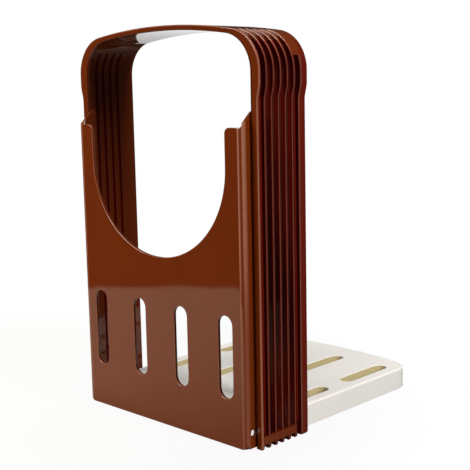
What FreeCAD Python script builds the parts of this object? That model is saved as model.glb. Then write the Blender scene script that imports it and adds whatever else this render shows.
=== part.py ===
import FreeCAD, Part
import os
import re
import Sketcher

# Bread slicer guide, millimetres.
# X runs across the loaf, Y along it (front face at low Y, loaf tray at high Y), Z is up.
# Inside each body Y = 0 is the front face of the comb frame; the whole object is then moved
# along Y so that its origin is the middle of its footprint, on the surface it stands on.

doc = FreeCAD.newDocument("bread_slicer_guide")

# ---------------------------------------------------------------------------------------------
# Sizes. Every one can be set by itself; everything else is worked out from them.
# ---------------------------------------------------------------------------------------------
SIZES = {
    # comb frame: an arch that is open at the bottom
    "height": 250.0,           # crown of the arch above the surface
    "body_half": 79.2,         # half width of the legs
    "head_swell": 1.8,         # how much wider each side is above the shoulder
    "shoulder_drop": 35.0,     # from the crown down to the top of the shoulder
    "shoulder_rise": 10.5,     # height over which the shoulder swells
    "crown_radius": 400.0,     # gentle arc along the top
    "corner_radius": 24.0,     # outer top corners
    "inner_corner": 22.0,      # inner top corners
    "top_band": 3.2,           # thickness of the top band
    "left_wall": 2.5,          # thickness of the smooth left wall
    "lip_depth": 2.0,          # front lip, front to back
    "lip_width": 5.2,          # front lip, from the outside inwards
    # comb on the right leg
    "fin_thick": 2.0,
    "fin_pitch": 5.93,
    "gap_count": 6.0,
    "rear_band": 6.12,         # last fin and the plain band behind it
    "rib_height": 2.8,         # how far the fins stand out of the wall between them
    "comb_floor": 1.2,         # thickness of that wall
    "merge_drop": 29.2,        # fins run out on the crown this far inside the legs' outside
    "slot_low": 8.4,           # lower end of the knife slots
    "slot_drop": 12.0,         # from the crown down to the upper end of the knife slots
    "bar_low": 3.3,            # underside of the bar that ties the feet of the fins
    "last_gap_drop": 21.5,     # from the crown down to the top of the last, blind gap
    "groove_width": 1.4,       # guide grooves inside the left wall
    "groove_depth": 1.0,
    "groove_drop": 12.5,
    "groove_low": 4.0,
    # front plate
    "lip_gap": 0.7,            # shadow gap between the plate's flanges and the front lip
    "plate_proud": 8.05,       # how far the plate stands in front of the frame
    "plate_thick": 2.2,
    "plate_low": 1.0,          # clearance under the plate
    "ear_drop": 60.0,          # from the crown down to the top of the ears
    "flange_rise": 9.0,        # flanges rise this far above the ears
    "flange_thick": 2.0,
    "bevel_run": 1.5,          # slanted strip beside each side corner
    "bevel_fall": 0.32,
    "edge_round": 1.2,
    "hook_gap": 0.4,           # play between the front lip and the hook behind it
    "hook_thick": 2.0,
    "hook_reach": 1.5,
    "ear_width": 12.9,         # from the plate's side to the straight part of the U
    "cut_drop": 83.0,          # from the crown down to where the U starts to curve
    "cut_deep": 58.1,          # depth of the curved part of the U
    "slot_margin": 15.5,       # from the plate's side to the outer slots' centre line
    "slot_width": 11.4,
    "window_low": 29.8,
    "window_gap": 28.7,        # from the top of the windows up to the bottom of the U
    # tray
    "tray_gap": 0.3,           # between the tray's sides and the plate's flanges
    "tray_reach": 170.7,       # far edge of the tray behind the frame's front face
    "tray_bow": 350.0,         # radius of the bowed far edge
    "tray_corner": 16.0,
    "tray_high": 14.4,
    "tray_wall": 2.0,
    "deck_thick": 2.5,
    "deck_slot": 10.0,         # width of the long slots in the deck
    "rim_thick": 1.2,          # rim under the deck round each slot
    "rim_high": 6.2,           # from the deck down to the rim's lower edge
    "row_length": 46.8,
    "row_space": 18.1,         # between the two rows of slots
    "row_margin": 20.4,        # from the far edge to the end of the last row
    # hinge
    "nose_radius": 3.9,        # the tray's near end is rounded about the hinge axis
    "fold_gap": 0.45,          # between the folded deck and the back of the front plate
    "pin_radius": 2.1,
    "pin_play": 0.05,          # running clearance around the pins in the flanges
    "pin_recess": 1.1,
    "boss_inset": 0.3,         # bosses stay this far inside the rounded end
    "boss_depth": 4.0,
}

sheet = doc.addObject("Spreadsheet::Sheet", "sizes")
for row, (alias, value) in enumerate(SIZES.items(), start=1):
    sheet.set("A%d" % row, alias)
    sheet.set("B%d" % row, str(value))
    sheet.setAlias("B%d" % row, alias)
doc.recompute()


def bound(formula):
    """Formula text with every size named through the sheet."""
    return re.sub(r"[A-Za-z_][A-Za-z_0-9]*",
                  lambda word: "sizes." + word.group() if word.group() in SIZES else word.group(),
                  str(formula))


def number(formula):
    """Value of a formula with the sizes as they are set."""
    return float(sheet.evalExpression(bound(formula)))


# ---------------------------------------------------------------------------------------------
# Sketches and features
# ---------------------------------------------------------------------------------------------
NORMAL = {"XY_Plane": 1, "XZ_Plane": -1, "YZ_Plane": 1}   # sketch normal along Z, Y and X


def origin_part(body, role):
    """Plane or axis of the body's own origin."""
    return [feature for feature in body.Origin.OriginFeatures if feature.Role == role][0]


def new_body(name):
    """Body that carries one piece, moved back to the middle of the footprint."""
    body = doc.addObject("PartDesign::Body", name)
    body.Label = name
    body.setExpression("Placement.Base.y", bound("-(tray_reach - plate_proud) / 2"))
    return body


def new_sketch(body, name, plane, level="0"):
    """Sketch on one of the body's origin planes, at a level along that plane's global axis."""
    sketch = body.newObject("Sketcher::SketchObject", name)
    sketch.AttachmentSupport = [(origin_part(body, plane), "")]
    sketch.MapMode = "FlatFace"
    sign = NORMAL[plane]
    sketch.AttachmentOffset = FreeCAD.Placement(
        FreeCAD.Vector(0, 0, sign * number(level)), FreeCAD.Rotation())
    sketch.setExpression("AttachmentOffset.Base.z", bound("%d * (%s)" % (sign, level)))
    return sketch


def hold(sketch, kind, geometry, point, formula):
    """Position of one sketch point, bound to its formula."""
    index = sketch.addConstraint(
        Sketcher.Constraint(kind, -1, 1, geometry, point, number(formula)))
    sketch.setExpression("Constraints[%d]" % index, bound(formula))


def draw(sketch, path):
    """Closed outline. Each corner is (x, y); (x, y, cx, cy, turn) starts an arc about (cx, cy),
    turn +1 anticlockwise and -1 clockwise, that ends at the next corner."""
    count = len(path)
    first = sketch.GeometryCount
    spots = [FreeCAD.Vector(number(step[0]), number(step[1]), 0) for step in path]
    starts, ends = [], []
    for i, step in enumerate(path):
        here, after = spots[i], spots[(i + 1) % count]
        if len(step) == 2:
            sketch.addGeometry(Part.LineSegment(here, after), False)
            starts.append(1)
            ends.append(2)
            continue
        centre = FreeCAD.Vector(number(step[2]), number(step[3]), 0)
        circle = Part.Circle(centre, FreeCAD.Vector(0, 0, 1), (here - centre).Length)
        one, two = circle.parameter(here), circle.parameter(after)
        if step[4] > 0:
            sketch.addGeometry(Part.ArcOfCircle(circle, one, two), False)
            starts.append(1)
            ends.append(2)
        else:
            sketch.addGeometry(Part.ArcOfCircle(circle, two, one), False)
            starts.append(2)
            ends.append(1)
    for i in range(count):
        j = (i + 1) % count
        sketch.addConstraint(
            Sketcher.Constraint("Coincident", first + i, ends[i], first + j, starts[j]))
    for i, step in enumerate(path):
        hold(sketch, "DistanceX", first + i, starts[i], step[0])
        hold(sketch, "DistanceY", first + i, starts[i], step[1])
        if len(step) == 5:
            chord = spots[(i + 1) % count] - spots[i]
            if abs(chord.y) > abs(chord.x):
                hold(sketch, "DistanceX", first + i, 3, step[2])
            else:
                hold(sketch, "DistanceY", first + i, 3, step[3])


def ring(sketch, x, y, radius):
    """Circle bound to its centre and radius."""
    index = sketch.addGeometry(Part.Circle(
        FreeCAD.Vector(number(x), number(y), 0), FreeCAD.Vector(0, 0, 1), number(radius)), False)
    hold(sketch, "DistanceX", index, 3, x)
    hold(sketch, "DistanceY", index, 3, y)
    rule = sketch.addConstraint(Sketcher.Constraint("Radius", index, number(radius)))
    sketch.setExpression("Constraints[%d]" % rule, bound(radius))


def box(x0, y0, x1, y1):
    """Corners of a rectangle."""
    return [(x0, y0), (x1, y0), (x1, y1), (x0, y1)]


def long_hole(x, low, high, width):
    """Slot along the sketch's Y with round ends."""
    r = "(%s) / 2" % width
    return [("(%s) + %s" % (x, r), "(%s) + %s" % (low, r)),
            ("(%s) + %s" % (x, r), "(%s) - %s" % (high, r), x, "(%s) - %s" % (high, r), 1),
            ("(%s) - %s" % (x, r), "(%s) - %s" % (high, r)),
            ("(%s) - %s" % (x, r), "(%s) + %s" % (low, r), x, "(%s) + %s" % (low, r), 1)]


def pad(body, sketch, plane, length, toward=1):
    """Pad along the plane's global axis."""
    feature = body.newObject("PartDesign::Pad", sketch.Name + "_pad")
    feature.Profile = sketch
    feature.Length = number(length)
    feature.setExpression("Length", bound(length))
    feature.Reversed = NORMAL[plane] * toward < 0
    doc.recompute()
    return feature


def pocket(body, sketch, plane, length, toward=1):
    """Pocket along the plane's global axis; it must take material away."""
    before = body.Shape.Volume
    feature = body.newObject("PartDesign::Pocket", sketch.Name + "_cut")
    feature.Profile = sketch
    feature.Length = number(length)
    feature.setExpression("Length", bound(length))
    feature.Reversed = NORMAL[plane] * toward > 0
    doc.recompute()
    if not feature.Shape.Volume < before - 0.01:
        raise RuntimeError(feature.Name + " cuts nothing")
    return feature


def repeat(body, feature, count, step):
    """The same feature again at even steps along Y."""
    row = body.newObject("PartDesign::LinearPattern", feature.Name + "_row")
    row.Originals = [feature]
    row.Direction = (origin_part(body, "Y_Axis"), [""])
    row.Occurrences = count
    row.Length = number("%d * (%s)" % (count - 1, step))
    row.setExpression("Length", bound("%d * (%s)" % (count - 1, step)))
    body.Tip = row
    doc.recompute()
    return row


def mirror(body, features):
    """The same features again on the other side of the middle plane."""
    other = body.newObject("PartDesign::Mirrored", features[0].Name + "_other")
    other.Originals = features
    other.MirrorPlane = (origin_part(body, "YZ_Plane"), [""])
    body.Tip = other
    doc.recompute()
    return other


# ---------------------------------------------------------------------------------------------
# Shared geometry
# ---------------------------------------------------------------------------------------------
FRAME_DEEP = "(gap_count * fin_pitch + rear_band)"
HEAD_HALF = "(body_half + head_swell)"
LEFT_IN = "(body_half - left_wall)"
RIGHT_FLOOR = "(body_half - rib_height)"
RIGHT_IN = "(body_half - rib_height - comb_floor)"
LIP_HALF = "(body_half - lip_width)"
PLATE_HALF = "(body_half - lip_width - lip_gap)"
FLANGE_IN = "(%s - flange_thick)" % PLATE_HALF
TRAY_HALF = "(%s - tray_gap)" % FLANGE_IN
GAP_WIDE = "(fin_pitch - fin_thick)"
EAR_TOP = "(height - ear_drop)"
PIVOT_Y = "(plate_thick + fold_gap + nose_radius - plate_proud)"
PIVOT_Z = "(tray_high - nose_radius)"


def corner(half, top, crown, radius):
    """Corner circle that touches the side line and the crown arc: its centre, the height of the
    crown's centre, and the point where corner and crown meet."""
    mid_x = "(%s - %s)" % (half, radius)
    low = "(%s - %s)" % (top, crown)
    mid_z = "(%s + sqrt((%s - %s)^2 - %s^2))" % (low, crown, radius, mid_x)
    ratio = "(%s / (%s - %s))" % (crown, crown, radius)
    return mid_x, mid_z, low, "(%s * %s)" % (mid_x, ratio), \
        "(%s + (%s - %s) * %s)" % (low, mid_z, low, ratio)


OUT_X, OUT_Z, CROWN_Z, OUT_TX, OUT_TZ = corner(
    HEAD_HALF, "height", "crown_radius", "corner_radius")


def arch(left_half, right_half):
    """Arch with the frame's outside and an inside of the given half widths, open below."""
    top, bend = "(height - shoulder_drop)", "((shoulder_rise^2 + head_swell^2) / (4 * head_swell))"
    low = "(%s - shoulder_rise)" % top
    half_z = "(%s - shoulder_rise / 2)" % top
    half_x = "(body_half + head_swell / 2)"
    inside = "(crown_radius - top_band)"
    rx, rz, k, rtx, rtz = corner(right_half, "(height - top_band)", inside, "inner_corner")
    lx, lz, k, ltx, ltz = corner(left_half, "(height - top_band)", inside, "inner_corner")
    return [
        ("body_half", "0"),
        ("body_half", low, "body_half + " + bend, low, -1),
        (half_x, half_z, HEAD_HALF + " - " + bend, top, 1),
        (HEAD_HALF, top),
        (HEAD_HALF, OUT_Z, OUT_X, OUT_Z, 1),
        (OUT_TX, OUT_TZ, "0", CROWN_Z, 1),
        ("-" + OUT_TX, OUT_TZ, "-" + OUT_X, OUT_Z, 1),
        ("-" + HEAD_HALF, OUT_Z),
        ("-" + HEAD_HALF, top, "-(%s - %s)" % (HEAD_HALF, bend), top, 1),
        ("-" + half_x, half_z, "-(body_half + %s)" % bend, low, -1),
        ("-body_half", low),
        ("-body_half", "0"),
        ("-" + left_half, "0"),
        ("-" + left_half, lz, "-" + lx, lz, -1),
        ("-" + ltx, ltz, "0", k, -1),
        (rtx, rtz, rx, rz, -1),
        (right_half, rz),
        (right_half, "0"),
    ]


# ---------------------------------------------------------------------------------------------
# Comb frame
# ---------------------------------------------------------------------------------------------
frame = new_body("comb_frame")
hoop = new_sketch(frame, "hoop", "XZ_Plane")
draw(hoop, arch(LEFT_IN, RIGHT_IN))
pad(frame, hoop, "XZ_Plane", FRAME_DEEP)

# The front lip stands inwards of the walls and keeps the front plate in.
lip = new_sketch(frame, "front_lip", "XZ_Plane")
draw(lip, arch(LIP_HALF, LIP_HALF))
pad(frame, lip, "XZ_Plane", "lip_depth")

# Gaps between the fins: blind recesses that follow the leg and run out on the crown.
merge_x = "(body_half - merge_drop)"
merge_z = "(%s + sqrt(crown_radius^2 - %s^2))" % (CROWN_Z, merge_x)
floor_r = "(((%s - %s)^2 + (%s - %s)^2) / (2 * (%s - %s)))" % (
    RIGHT_FLOOR, merge_x, merge_z, OUT_Z, RIGHT_FLOOR, merge_x)
recess = new_sketch(frame, "recess", "XZ_Plane", "fin_thick")
draw(recess, [
    (RIGHT_FLOOR, "slot_low"),
    (RIGHT_FLOOR, OUT_Z, "%s - %s" % (RIGHT_FLOOR, floor_r), OUT_Z, 1),
    (merge_x, merge_z),
    (merge_x, "height + 5"),
    (HEAD_HALF + " + 5", "height + 5"),
    (HEAD_HALF + " + 5", "slot_low"),
])
GAPS = int(round(SIZES["gap_count"]))
repeat(frame, pocket(frame, recess, "XZ_Plane", GAP_WIDE), GAPS - 1, "fin_pitch")

# The last gap is blind too and ends lower.
last = new_sketch(frame, "last_recess", "XZ_Plane", "fin_thick + (gap_count - 1) * fin_pitch")
draw(last, box(RIGHT_FLOOR, "-1", HEAD_HALF + " + 5", "height - last_gap_drop"))
pocket(frame, last, "XZ_Plane", GAP_WIDE)

# Knife slots right through the second to the last but one gap, with round tops.
knife = new_sketch(frame, "knife_slot", "YZ_Plane")
near, far = "(fin_pitch + fin_thick)", "(2 * fin_pitch)"
high = "(height - slot_drop - %s / 2)" % GAP_WIDE
draw(knife, [(near, "slot_low"), (far, "slot_low"),
             (far, high, "(%s + %s) / 2" % (near, far), high, 1), (near, high)])
repeat(frame, pocket(frame, knife, "YZ_Plane", HEAD_HALF + " + 5"), GAPS - 2, "fin_pitch")

# Below the bar the gaps are open, and the last one has no bar.
foot = new_sketch(frame, "foot_gap", "YZ_Plane")
draw(foot, box("fin_thick", "-1", "fin_pitch", "bar_low"))
repeat(frame, pocket(frame, foot, "YZ_Plane", HEAD_HALF + " + 5"), GAPS - 1, "fin_pitch")
heel = new_sketch(frame, "heel_gap", "YZ_Plane")
draw(heel, box("fin_thick + (gap_count - 1) * fin_pitch", "-1",
               "gap_count * fin_pitch", "slot_low"))
pocket(frame, heel, "YZ_Plane", HEAD_HALF + " + 5")

# Guide grooves inside the left wall, one opposite each knife slot.
gx, gz, k, gtx, gtz = corner(
    LEFT_IN, "(height - top_band)", "(crown_radius - top_band)", "inner_corner")
deep, shallow = "(inner_corner + groove_depth)", "(inner_corner - 1)"
rise = "(height - groove_drop - %s)" % gz
run = "sqrt(%s^2 - %s^2)" % (deep, rise)
groove = new_sketch(frame, "guide_groove", "XZ_Plane",
                    "1.5 * fin_pitch + fin_thick / 2 - groove_width / 2")
draw(groove, [
    ("-(%s + groove_depth)" % LEFT_IN, "groove_low"),
    ("-(%s + groove_depth)" % LEFT_IN, gz, "-" + gx, gz, -1),
    ("-(%s + %s)" % (gx, run), "%s + %s" % (gz, rise)),
    ("-(%s + %s * %s / %s)" % (gx, run, shallow, deep), "%s + %s * %s / %s" % (gz, rise, shallow, deep),
     "-" + gx, gz, 1),
    ("-(%s - 1)" % LEFT_IN, gz),
    ("-(%s - 1)" % LEFT_IN, "groove_low"),
])
repeat(frame, pocket(frame, groove, "XZ_Plane", "groove_width"), GAPS - 2, "fin_pitch")

# ---------------------------------------------------------------------------------------------
# Front plate
# ---------------------------------------------------------------------------------------------
plate = new_body("front_plate")
front, back = "-plate_proud", "(plate_thick - plate_proud)"
hook_front = "(lip_depth + hook_gap)"
hook_back = "(lip_depth + hook_gap + hook_thick)"
hook_half = "(%s + hook_reach)" % PLATE_HALF
bend_x = "(%s - edge_round)" % PLATE_HALF
bend_y = "(bevel_fall - plate_proud)"
section = new_sketch(plate, "plate_section", "XY_Plane", "plate_low")
draw(section, [
    ("-(%s - bevel_run)" % bend_x, front),
    ("(%s - bevel_run)" % bend_x, front),
    (bend_x, bend_y, bend_x, bend_y + " + edge_round", 1),
    (PLATE_HALF, bend_y + " + edge_round"),
    (PLATE_HALF, hook_front),
    (hook_half, hook_front),
    (hook_half, hook_back),
    (FLANGE_IN, hook_back),
    (FLANGE_IN, back),
    ("-" + FLANGE_IN, back),
    ("-" + FLANGE_IN, hook_back),
    ("-" + hook_half, hook_back),
    ("-" + hook_half, hook_front),
    ("-" + PLATE_HALF, hook_front),
    ("-" + PLATE_HALF, bend_y + " + edge_round", "-" + bend_x, bend_y + " + edge_round", 1),
    ("-" + bend_x, bend_y),
])
pad(plate, section, "XY_Plane", "%s + flange_rise - plate_low" % EAR_TOP)

# Slanted tops of the flanges, and the flat top of the face between them.
gusset = new_sketch(plate, "gusset", "YZ_Plane", "-2 * body_half")
draw(gusset, [
    ("-plate_proud - 2", EAR_TOP),
    ("-plate_proud + 0.2", EAR_TOP),
    ("lip_depth", "%s + flange_rise" % EAR_TOP),
    ("lip_depth", "height"),
    ("-plate_proud - 2", "height"),
])
pocket(plate, gusset, "YZ_Plane", "4 * body_half")
level = new_sketch(plate, "ear_top", "XZ_Plane", "-plate_proud - 2")
draw(level, box("-" + FLANGE_IN, EAR_TOP, FLANGE_IN, "height"))
pocket(plate, level, "XZ_Plane", "plate_thick + 2.5")

# U-shaped cut-out: straight sides above half an ellipse.
cut = new_sketch(plate, "hand_cut", "XZ_Plane", "-plate_proud - 2")
cut_half = "(%s - ear_width)" % PLATE_HALF
cut_z = "(height - cut_drop)"
bowl_x, bowl_y = FreeCAD.Vector(number(cut_half), 0, 0), FreeCAD.Vector(0, number("cut_deep"), 0)
middle = FreeCAD.Vector(0, number(cut_z), 0)
wide = bowl_x.Length >= bowl_y.Length
if wide:
    bowl = Part.Ellipse(middle + bowl_x, middle + bowl_y, middle)
else:
    bowl = Part.Ellipse(middle + bowl_y, middle - bowl_x, middle)
rise_y = FreeCAD.Vector(0, number(EAR_TOP) + 10 - middle.y, 0)
cut.addGeometry(Part.ArcOfEllipse(
    bowl, bowl.parameter(middle - bowl_x), bowl.parameter(middle + bowl_x)), False)
cut.addGeometry(Part.LineSegment(middle + bowl_x, middle + bowl_x + rise_y), False)
cut.addGeometry(Part.LineSegment(middle + bowl_x + rise_y, middle - bowl_x + rise_y), False)
cut.addGeometry(Part.LineSegment(middle - bowl_x + rise_y, middle - bowl_x), False)
cut.exposeInternalGeometry(0)        # long axis is line 4, short axis is line 5
for one, two in (((0, 2), (1, 1)), ((1, 2), (2, 1)), ((2, 2), (3, 1)), ((3, 2), (0, 1))):
    cut.addConstraint(Sketcher.Constraint("Coincident", one[0], one[1], two[0], two[1]))
for kind, item, point, formula in (
        ("DistanceX", 0, 3, "0"), ("DistanceY", 0, 3, cut_z),
        ("DistanceX", 1, 1, cut_half), ("DistanceY", 1, 1, cut_z),
        ("DistanceX", 1, 2, cut_half), ("DistanceY", 1, 2, EAR_TOP + " + 10"),
        ("DistanceX", 2, 2, "-" + cut_half), ("DistanceY", 2, 2, EAR_TOP + " + 10"),
        ("DistanceY", 3, 2, cut_z)):
    hold(cut, kind, item, point, formula)
axis = cut.Geometry[5 if wide else 4]
tip = 1 if axis.StartPoint.y < axis.EndPoint.y else 2
hold(cut, "DistanceY" if wide else "DistanceX", 4, 1, cut_z if wide else "0")
hold(cut, "DistanceY", 5 if wide else 4, tip, cut_z + " - cut_deep")
pocket(plate, cut, "XZ_Plane", "plate_thick + 2.5")

# Four long windows, evenly spaced.
column = "(%s - slot_margin)" % PLATE_HALF
window_high = "(%s - cut_deep - window_gap)" % cut_z
window = new_sketch(plate, "windows", "XZ_Plane", "-plate_proud - 2")
for share in ("-1", "-1 / 3", "1 / 3", "1"):
    draw(window, long_hole("%s * %s" % (share, column), "window_low", window_high, "slot_width"))
pocket(plate, window, "XZ_Plane", "plate_thick + 2.5")

# Hinge holes through both flanges.
hole = new_sketch(plate, "hinge_holes", "YZ_Plane", "-2 * body_half")
ring(hole, PIVOT_Y, PIVOT_Z, "pin_radius + pin_play")
pocket(plate, hole, "YZ_Plane", "4 * body_half")

# ---------------------------------------------------------------------------------------------
# Tray
# ---------------------------------------------------------------------------------------------
tray = new_body("tray")
nose_y = "(%s - nose_radius)" % PIVOT_Y


def tray_outline(inset):
    """Plan of the tray, drawn in by a wall's thickness."""
    half = "(%s - %s)" % (TRAY_HALF, inset)
    cx, cy, k, tx, ty = corner(half, "(tray_reach - %s)" % inset, "(tray_bow - %s)" % inset,
                               "(tray_corner - %s)" % inset)
    near_y = "(%s + %s)" % (nose_y, inset)
    return [("-" + half, near_y), (half, near_y), (half, cy, cx, cy, 1),
            (tx, ty, "0", k, 1), ("-" + tx, ty, "-" + cx, cy, 1), ("-" + half, cy)]


shell = new_sketch(tray, "shell", "XY_Plane")
draw(shell, tray_outline("0"))
pad(tray, shell, "XY_Plane", "tray_high")
hollow = new_sketch(tray, "hollow", "XY_Plane")
draw(hollow, tray_outline("tray_wall"))
pocket(tray, hollow, "XY_Plane", "tray_high - deck_thick")

# Bosses behind the side walls carry the hinge pins.
boss = new_sketch(tray, "pin_boss", "YZ_Plane", "%s - tray_wall - boss_depth" % TRAY_HALF)
ring(boss, PIVOT_Y, PIVOT_Z, "nose_radius - boss_inset")
boss_pad = pad(tray, boss, "YZ_Plane", "boss_depth + tray_wall / 2")
mirror(tray, [boss_pad])

# The near end is rounded about the hinge, so that it clears plate and floor as it folds up.
nose = new_sketch(tray, "nose_top", "YZ_Plane", "-2 * body_half")
draw(nose, [
    (PIVOT_Y, "tray_high", PIVOT_Y, PIVOT_Z, 1),
    (nose_y, PIVOT_Z),
    (nose_y + " - 1", PIVOT_Z),
    (nose_y + " - 1", "tray_high + 1"),
    (PIVOT_Y, "tray_high + 1"),
])
pocket(tray, nose, "YZ_Plane", "4 * body_half")
chin = new_sketch(tray, "nose_low", "YZ_Plane", "-2 * body_half")
draw(chin, [
    (nose_y + " - 1", "-1"),
    (PIVOT_Y, "-1"),
    (PIVOT_Y, "0"),
    (nose_y, "0.6 * nose_radius"),
    (nose_y + " - 1", "0.6 * nose_radius"),
])
pocket(tray, chin, "YZ_Plane", "4 * body_half")

# Two rows of four long slots, in line with the windows of the front plate.
last_end = "(tray_reach - row_margin)"
rims = new_sketch(tray, "slot_rims", "XY_Plane", "tray_high - rim_high")
slots = new_sketch(tray, "deck_slots", "XY_Plane", "tray_high + 1")
for share in ("-1", "-1 / 3", "1 / 3", "1"):
    x = "%s * %s" % (share, column)
    for near, far in ((last_end + " - row_length", last_end),
                      (last_end + " - 2 * row_length - row_space",
                       last_end + " - row_length - row_space")):
        draw(slots, long_hole(x, near, far, "deck_slot"))
        draw(rims, long_hole(x, near + " - rim_thick", far + " + rim_thick",
                             "(deck_slot + 2 * rim_thick)"))
pad(tray, rims, "XY_Plane", "rim_high - deck_thick / 2")
pocket(tray, slots, "XY_Plane", "rim_high + 2", -1)

# Pin bores through the side walls and bosses.
bore = new_sketch(tray, "pin_bores", "YZ_Plane", "-2 * body_half")
ring(bore, PIVOT_Y, PIVOT_Z, "pin_radius")
pocket(tray, bore, "YZ_Plane", "4 * body_half")

# ---------------------------------------------------------------------------------------------
# Hinge pins
# ---------------------------------------------------------------------------------------------
for side, word in ((-1, "left"), (1, "right")):
    pin = new_body("hinge_pin_" + word)
    pin.setExpression("Placement.Base.y",
                      bound("-(tray_reach - plate_proud) / 2 + " + PIVOT_Y))
    pin.setExpression("Placement.Base.z", bound(PIVOT_Z))
    inner = "%d * (%s - tray_wall - boss_depth + 0.5)" % (side, TRAY_HALF)
    outer = "%d * (%s - pin_recess)" % (side, PLATE_HALF)
    soft = "%d * 0.4" % side
    profile = new_sketch(pin, "pin_profile_" + word, "XY_Plane")
    draw(profile, [
        (inner, "0"), (inner, "pin_radius - 0.4"), (inner + " + " + soft, "pin_radius"),
        (outer + " - " + soft, "pin_radius"), (outer, "pin_radius - 0.4"), (outer, "0"),
    ])
    turned = pin.newObject("PartDesign::Revolution", "pin_turned_" + word)
    turned.Profile = profile
    turned.ReferenceAxis = (origin_part(pin, "X_Axis"), [""])
    turned.Angle = 360.0
    doc.recompute()

# ---------------------------------------------------------------------------------------------
# Check and write
# ---------------------------------------------------------------------------------------------
doc.recompute()
for item in doc.Objects:
    if "Invalid" in item.State or "Error" in item.State:
        raise RuntimeError("%s is %s" % (item.Name, item.State))
bodies = [item for item in doc.Objects if item.TypeId == "PartDesign::Body"]
for body in bodies:
    if body.Shape.isNull() or not body.Shape.isValid():
        raise RuntimeError(body.Label + " has no valid shape")
    if len(body.Shape.Solids) != 1:
        raise RuntimeError("%s has %d solids" % (body.Label, len(body.Shape.Solids)))
os.makedirs("parts", exist_ok=True)
for body in bodies:
    body.Shape.exportStep(os.path.join("parts", body.Label + ".step"))
    size = body.Shape.BoundBox
    print("%-18s volume %9.1f  x %.2f %.2f  y %.2f %.2f  z %.2f %.2f" % (
        body.Label, body.Shape.Volume, size.XMin, size.XMax, size.YMin, size.YMax,
        size.ZMin, size.ZMax))
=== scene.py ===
"""Looks of the bread slicer guide: comb frame, front plate, folding tray and hinge pins.

Every shape is worked out in millimetres, with X across the loaf, Y along it and Z up, and with
Y = 0 at the front face of the comb frame. `settle` turns those points into the model's metres.
"""

from __future__ import annotations

import logging
import math
from dataclasses import astuple, dataclass, fields
from enum import Enum

import bmesh
import bpy
import numpy as np
from mathutils import Matrix, Vector

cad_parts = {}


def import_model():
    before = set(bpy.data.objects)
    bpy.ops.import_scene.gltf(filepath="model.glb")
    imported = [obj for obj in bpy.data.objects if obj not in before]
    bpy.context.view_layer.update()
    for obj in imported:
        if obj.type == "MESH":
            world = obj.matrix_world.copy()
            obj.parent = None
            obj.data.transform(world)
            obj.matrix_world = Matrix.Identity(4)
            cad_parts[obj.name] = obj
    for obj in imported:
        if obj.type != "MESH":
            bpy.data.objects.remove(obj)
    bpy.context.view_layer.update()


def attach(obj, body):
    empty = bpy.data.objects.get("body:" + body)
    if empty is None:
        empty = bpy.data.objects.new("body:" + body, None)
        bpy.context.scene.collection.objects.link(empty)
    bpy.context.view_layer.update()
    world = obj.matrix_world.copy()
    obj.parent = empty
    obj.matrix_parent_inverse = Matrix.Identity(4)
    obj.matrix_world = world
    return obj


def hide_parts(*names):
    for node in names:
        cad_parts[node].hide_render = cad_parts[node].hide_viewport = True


LOG = logging.getLogger("slicer_guide")

MM = 0.001
FRONT_Y = -81.325          # frame's front face, from the middle of the footprint
WELD_SHIFT = 0.137         # keeps round numbers off the borders of the welding cells
QUARTERS = (-1.0, -1.0 / 3.0, 1.0 / 3.0, 1.0)  # middles of the four windows or slots of a row
AROUND = 2.0 * math.pi

Colour = tuple[float, float, float]


# ------------------------------------------------------------------------------------------
# Small geometry helpers
# ------------------------------------------------------------------------------------------
def settle(points: np.ndarray) -> np.ndarray:
    """Points in millimetres from the frame's front face, as metres in the model's own frame."""
    return (np.asarray(points, float) + (0.0, FRONT_Y, 0.0)) * MM


def quarter(count: int) -> tuple[np.ndarray, np.ndarray]:
    """Rounding of an edge from one face to the next.

    A quarter circle of radius one: the first array is the distance still to go to the second
    face (one falls to zero), the second is the distance already gone down it (zero to one).

    Args:
        count: Number of segments.

    Returns:
        The two arrays, each with count + 1 values.
    """
    angle = np.linspace(0.0, math.pi / 2, count + 1)
    return 1.0 - np.sin(angle), 1.0 - np.cos(angle)


def smooth(value: np.ndarray) -> np.ndarray:
    """Cubic step 3t^2 - 2t^3 of a value held between zero and one."""
    t = np.clip(value, 0.0, 1.0)
    return t * t * (3.0 - 2.0 * t)


def spread(*parts: np.ndarray | float) -> np.ndarray:
    """Coordinates stretched to one shape and stacked along a last axis."""
    return np.stack(np.broadcast_arrays(*parts), axis=-1)


def unit(angle: np.ndarray) -> np.ndarray:
    """Unit vectors (cos t, sin t) at the angles t."""
    return spread(np.cos(angle), np.sin(angle))


def lift(flat: np.ndarray, level: np.ndarray | float, axis: int) -> np.ndarray:
    """Flat points given a third coordinate.

    Args:
        flat: Array (..., 2) with the two coordinates that stay.
        level: Value or array of the third coordinate.
        axis: Place of the third coordinate, 1 for Y or 2 for Z.

    Returns:
        Array (..., 3).
    """
    parts = [flat[..., 0], flat[..., 1]]
    parts.insert(axis, level)
    return spread(*parts)


def joined(*runs: np.ndarray) -> np.ndarray:
    """Lines joined end to end, with each shared point kept once."""
    return np.concatenate([runs[0]] + [run[1:] for run in runs[1:]])


def straight(start: tuple[float, float], end: tuple[float, float], count: int) -> np.ndarray:
    """Evenly spaced points from start to end, count segments."""
    share = np.linspace(0.0, 1.0, count + 1)[:, None]
    return np.asarray(start) * (1.0 - share) + np.asarray(end) * share


def doubled(line: np.ndarray) -> np.ndarray:
    """A run of points (n, 2) and, from its end back, its mirror image in X."""
    return joined(line, line[::-1] * (-1.0, 1.0))


def blend(first: np.ndarray, last: np.ndarray, steps: int) -> np.ndarray:
    """Lines that pass evenly, in that many steps, from one line to another as long."""
    share = np.linspace(0.0, 1.0, steps + 1)[:, None, None]
    return first * (1.0 - share) + last * share


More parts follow.
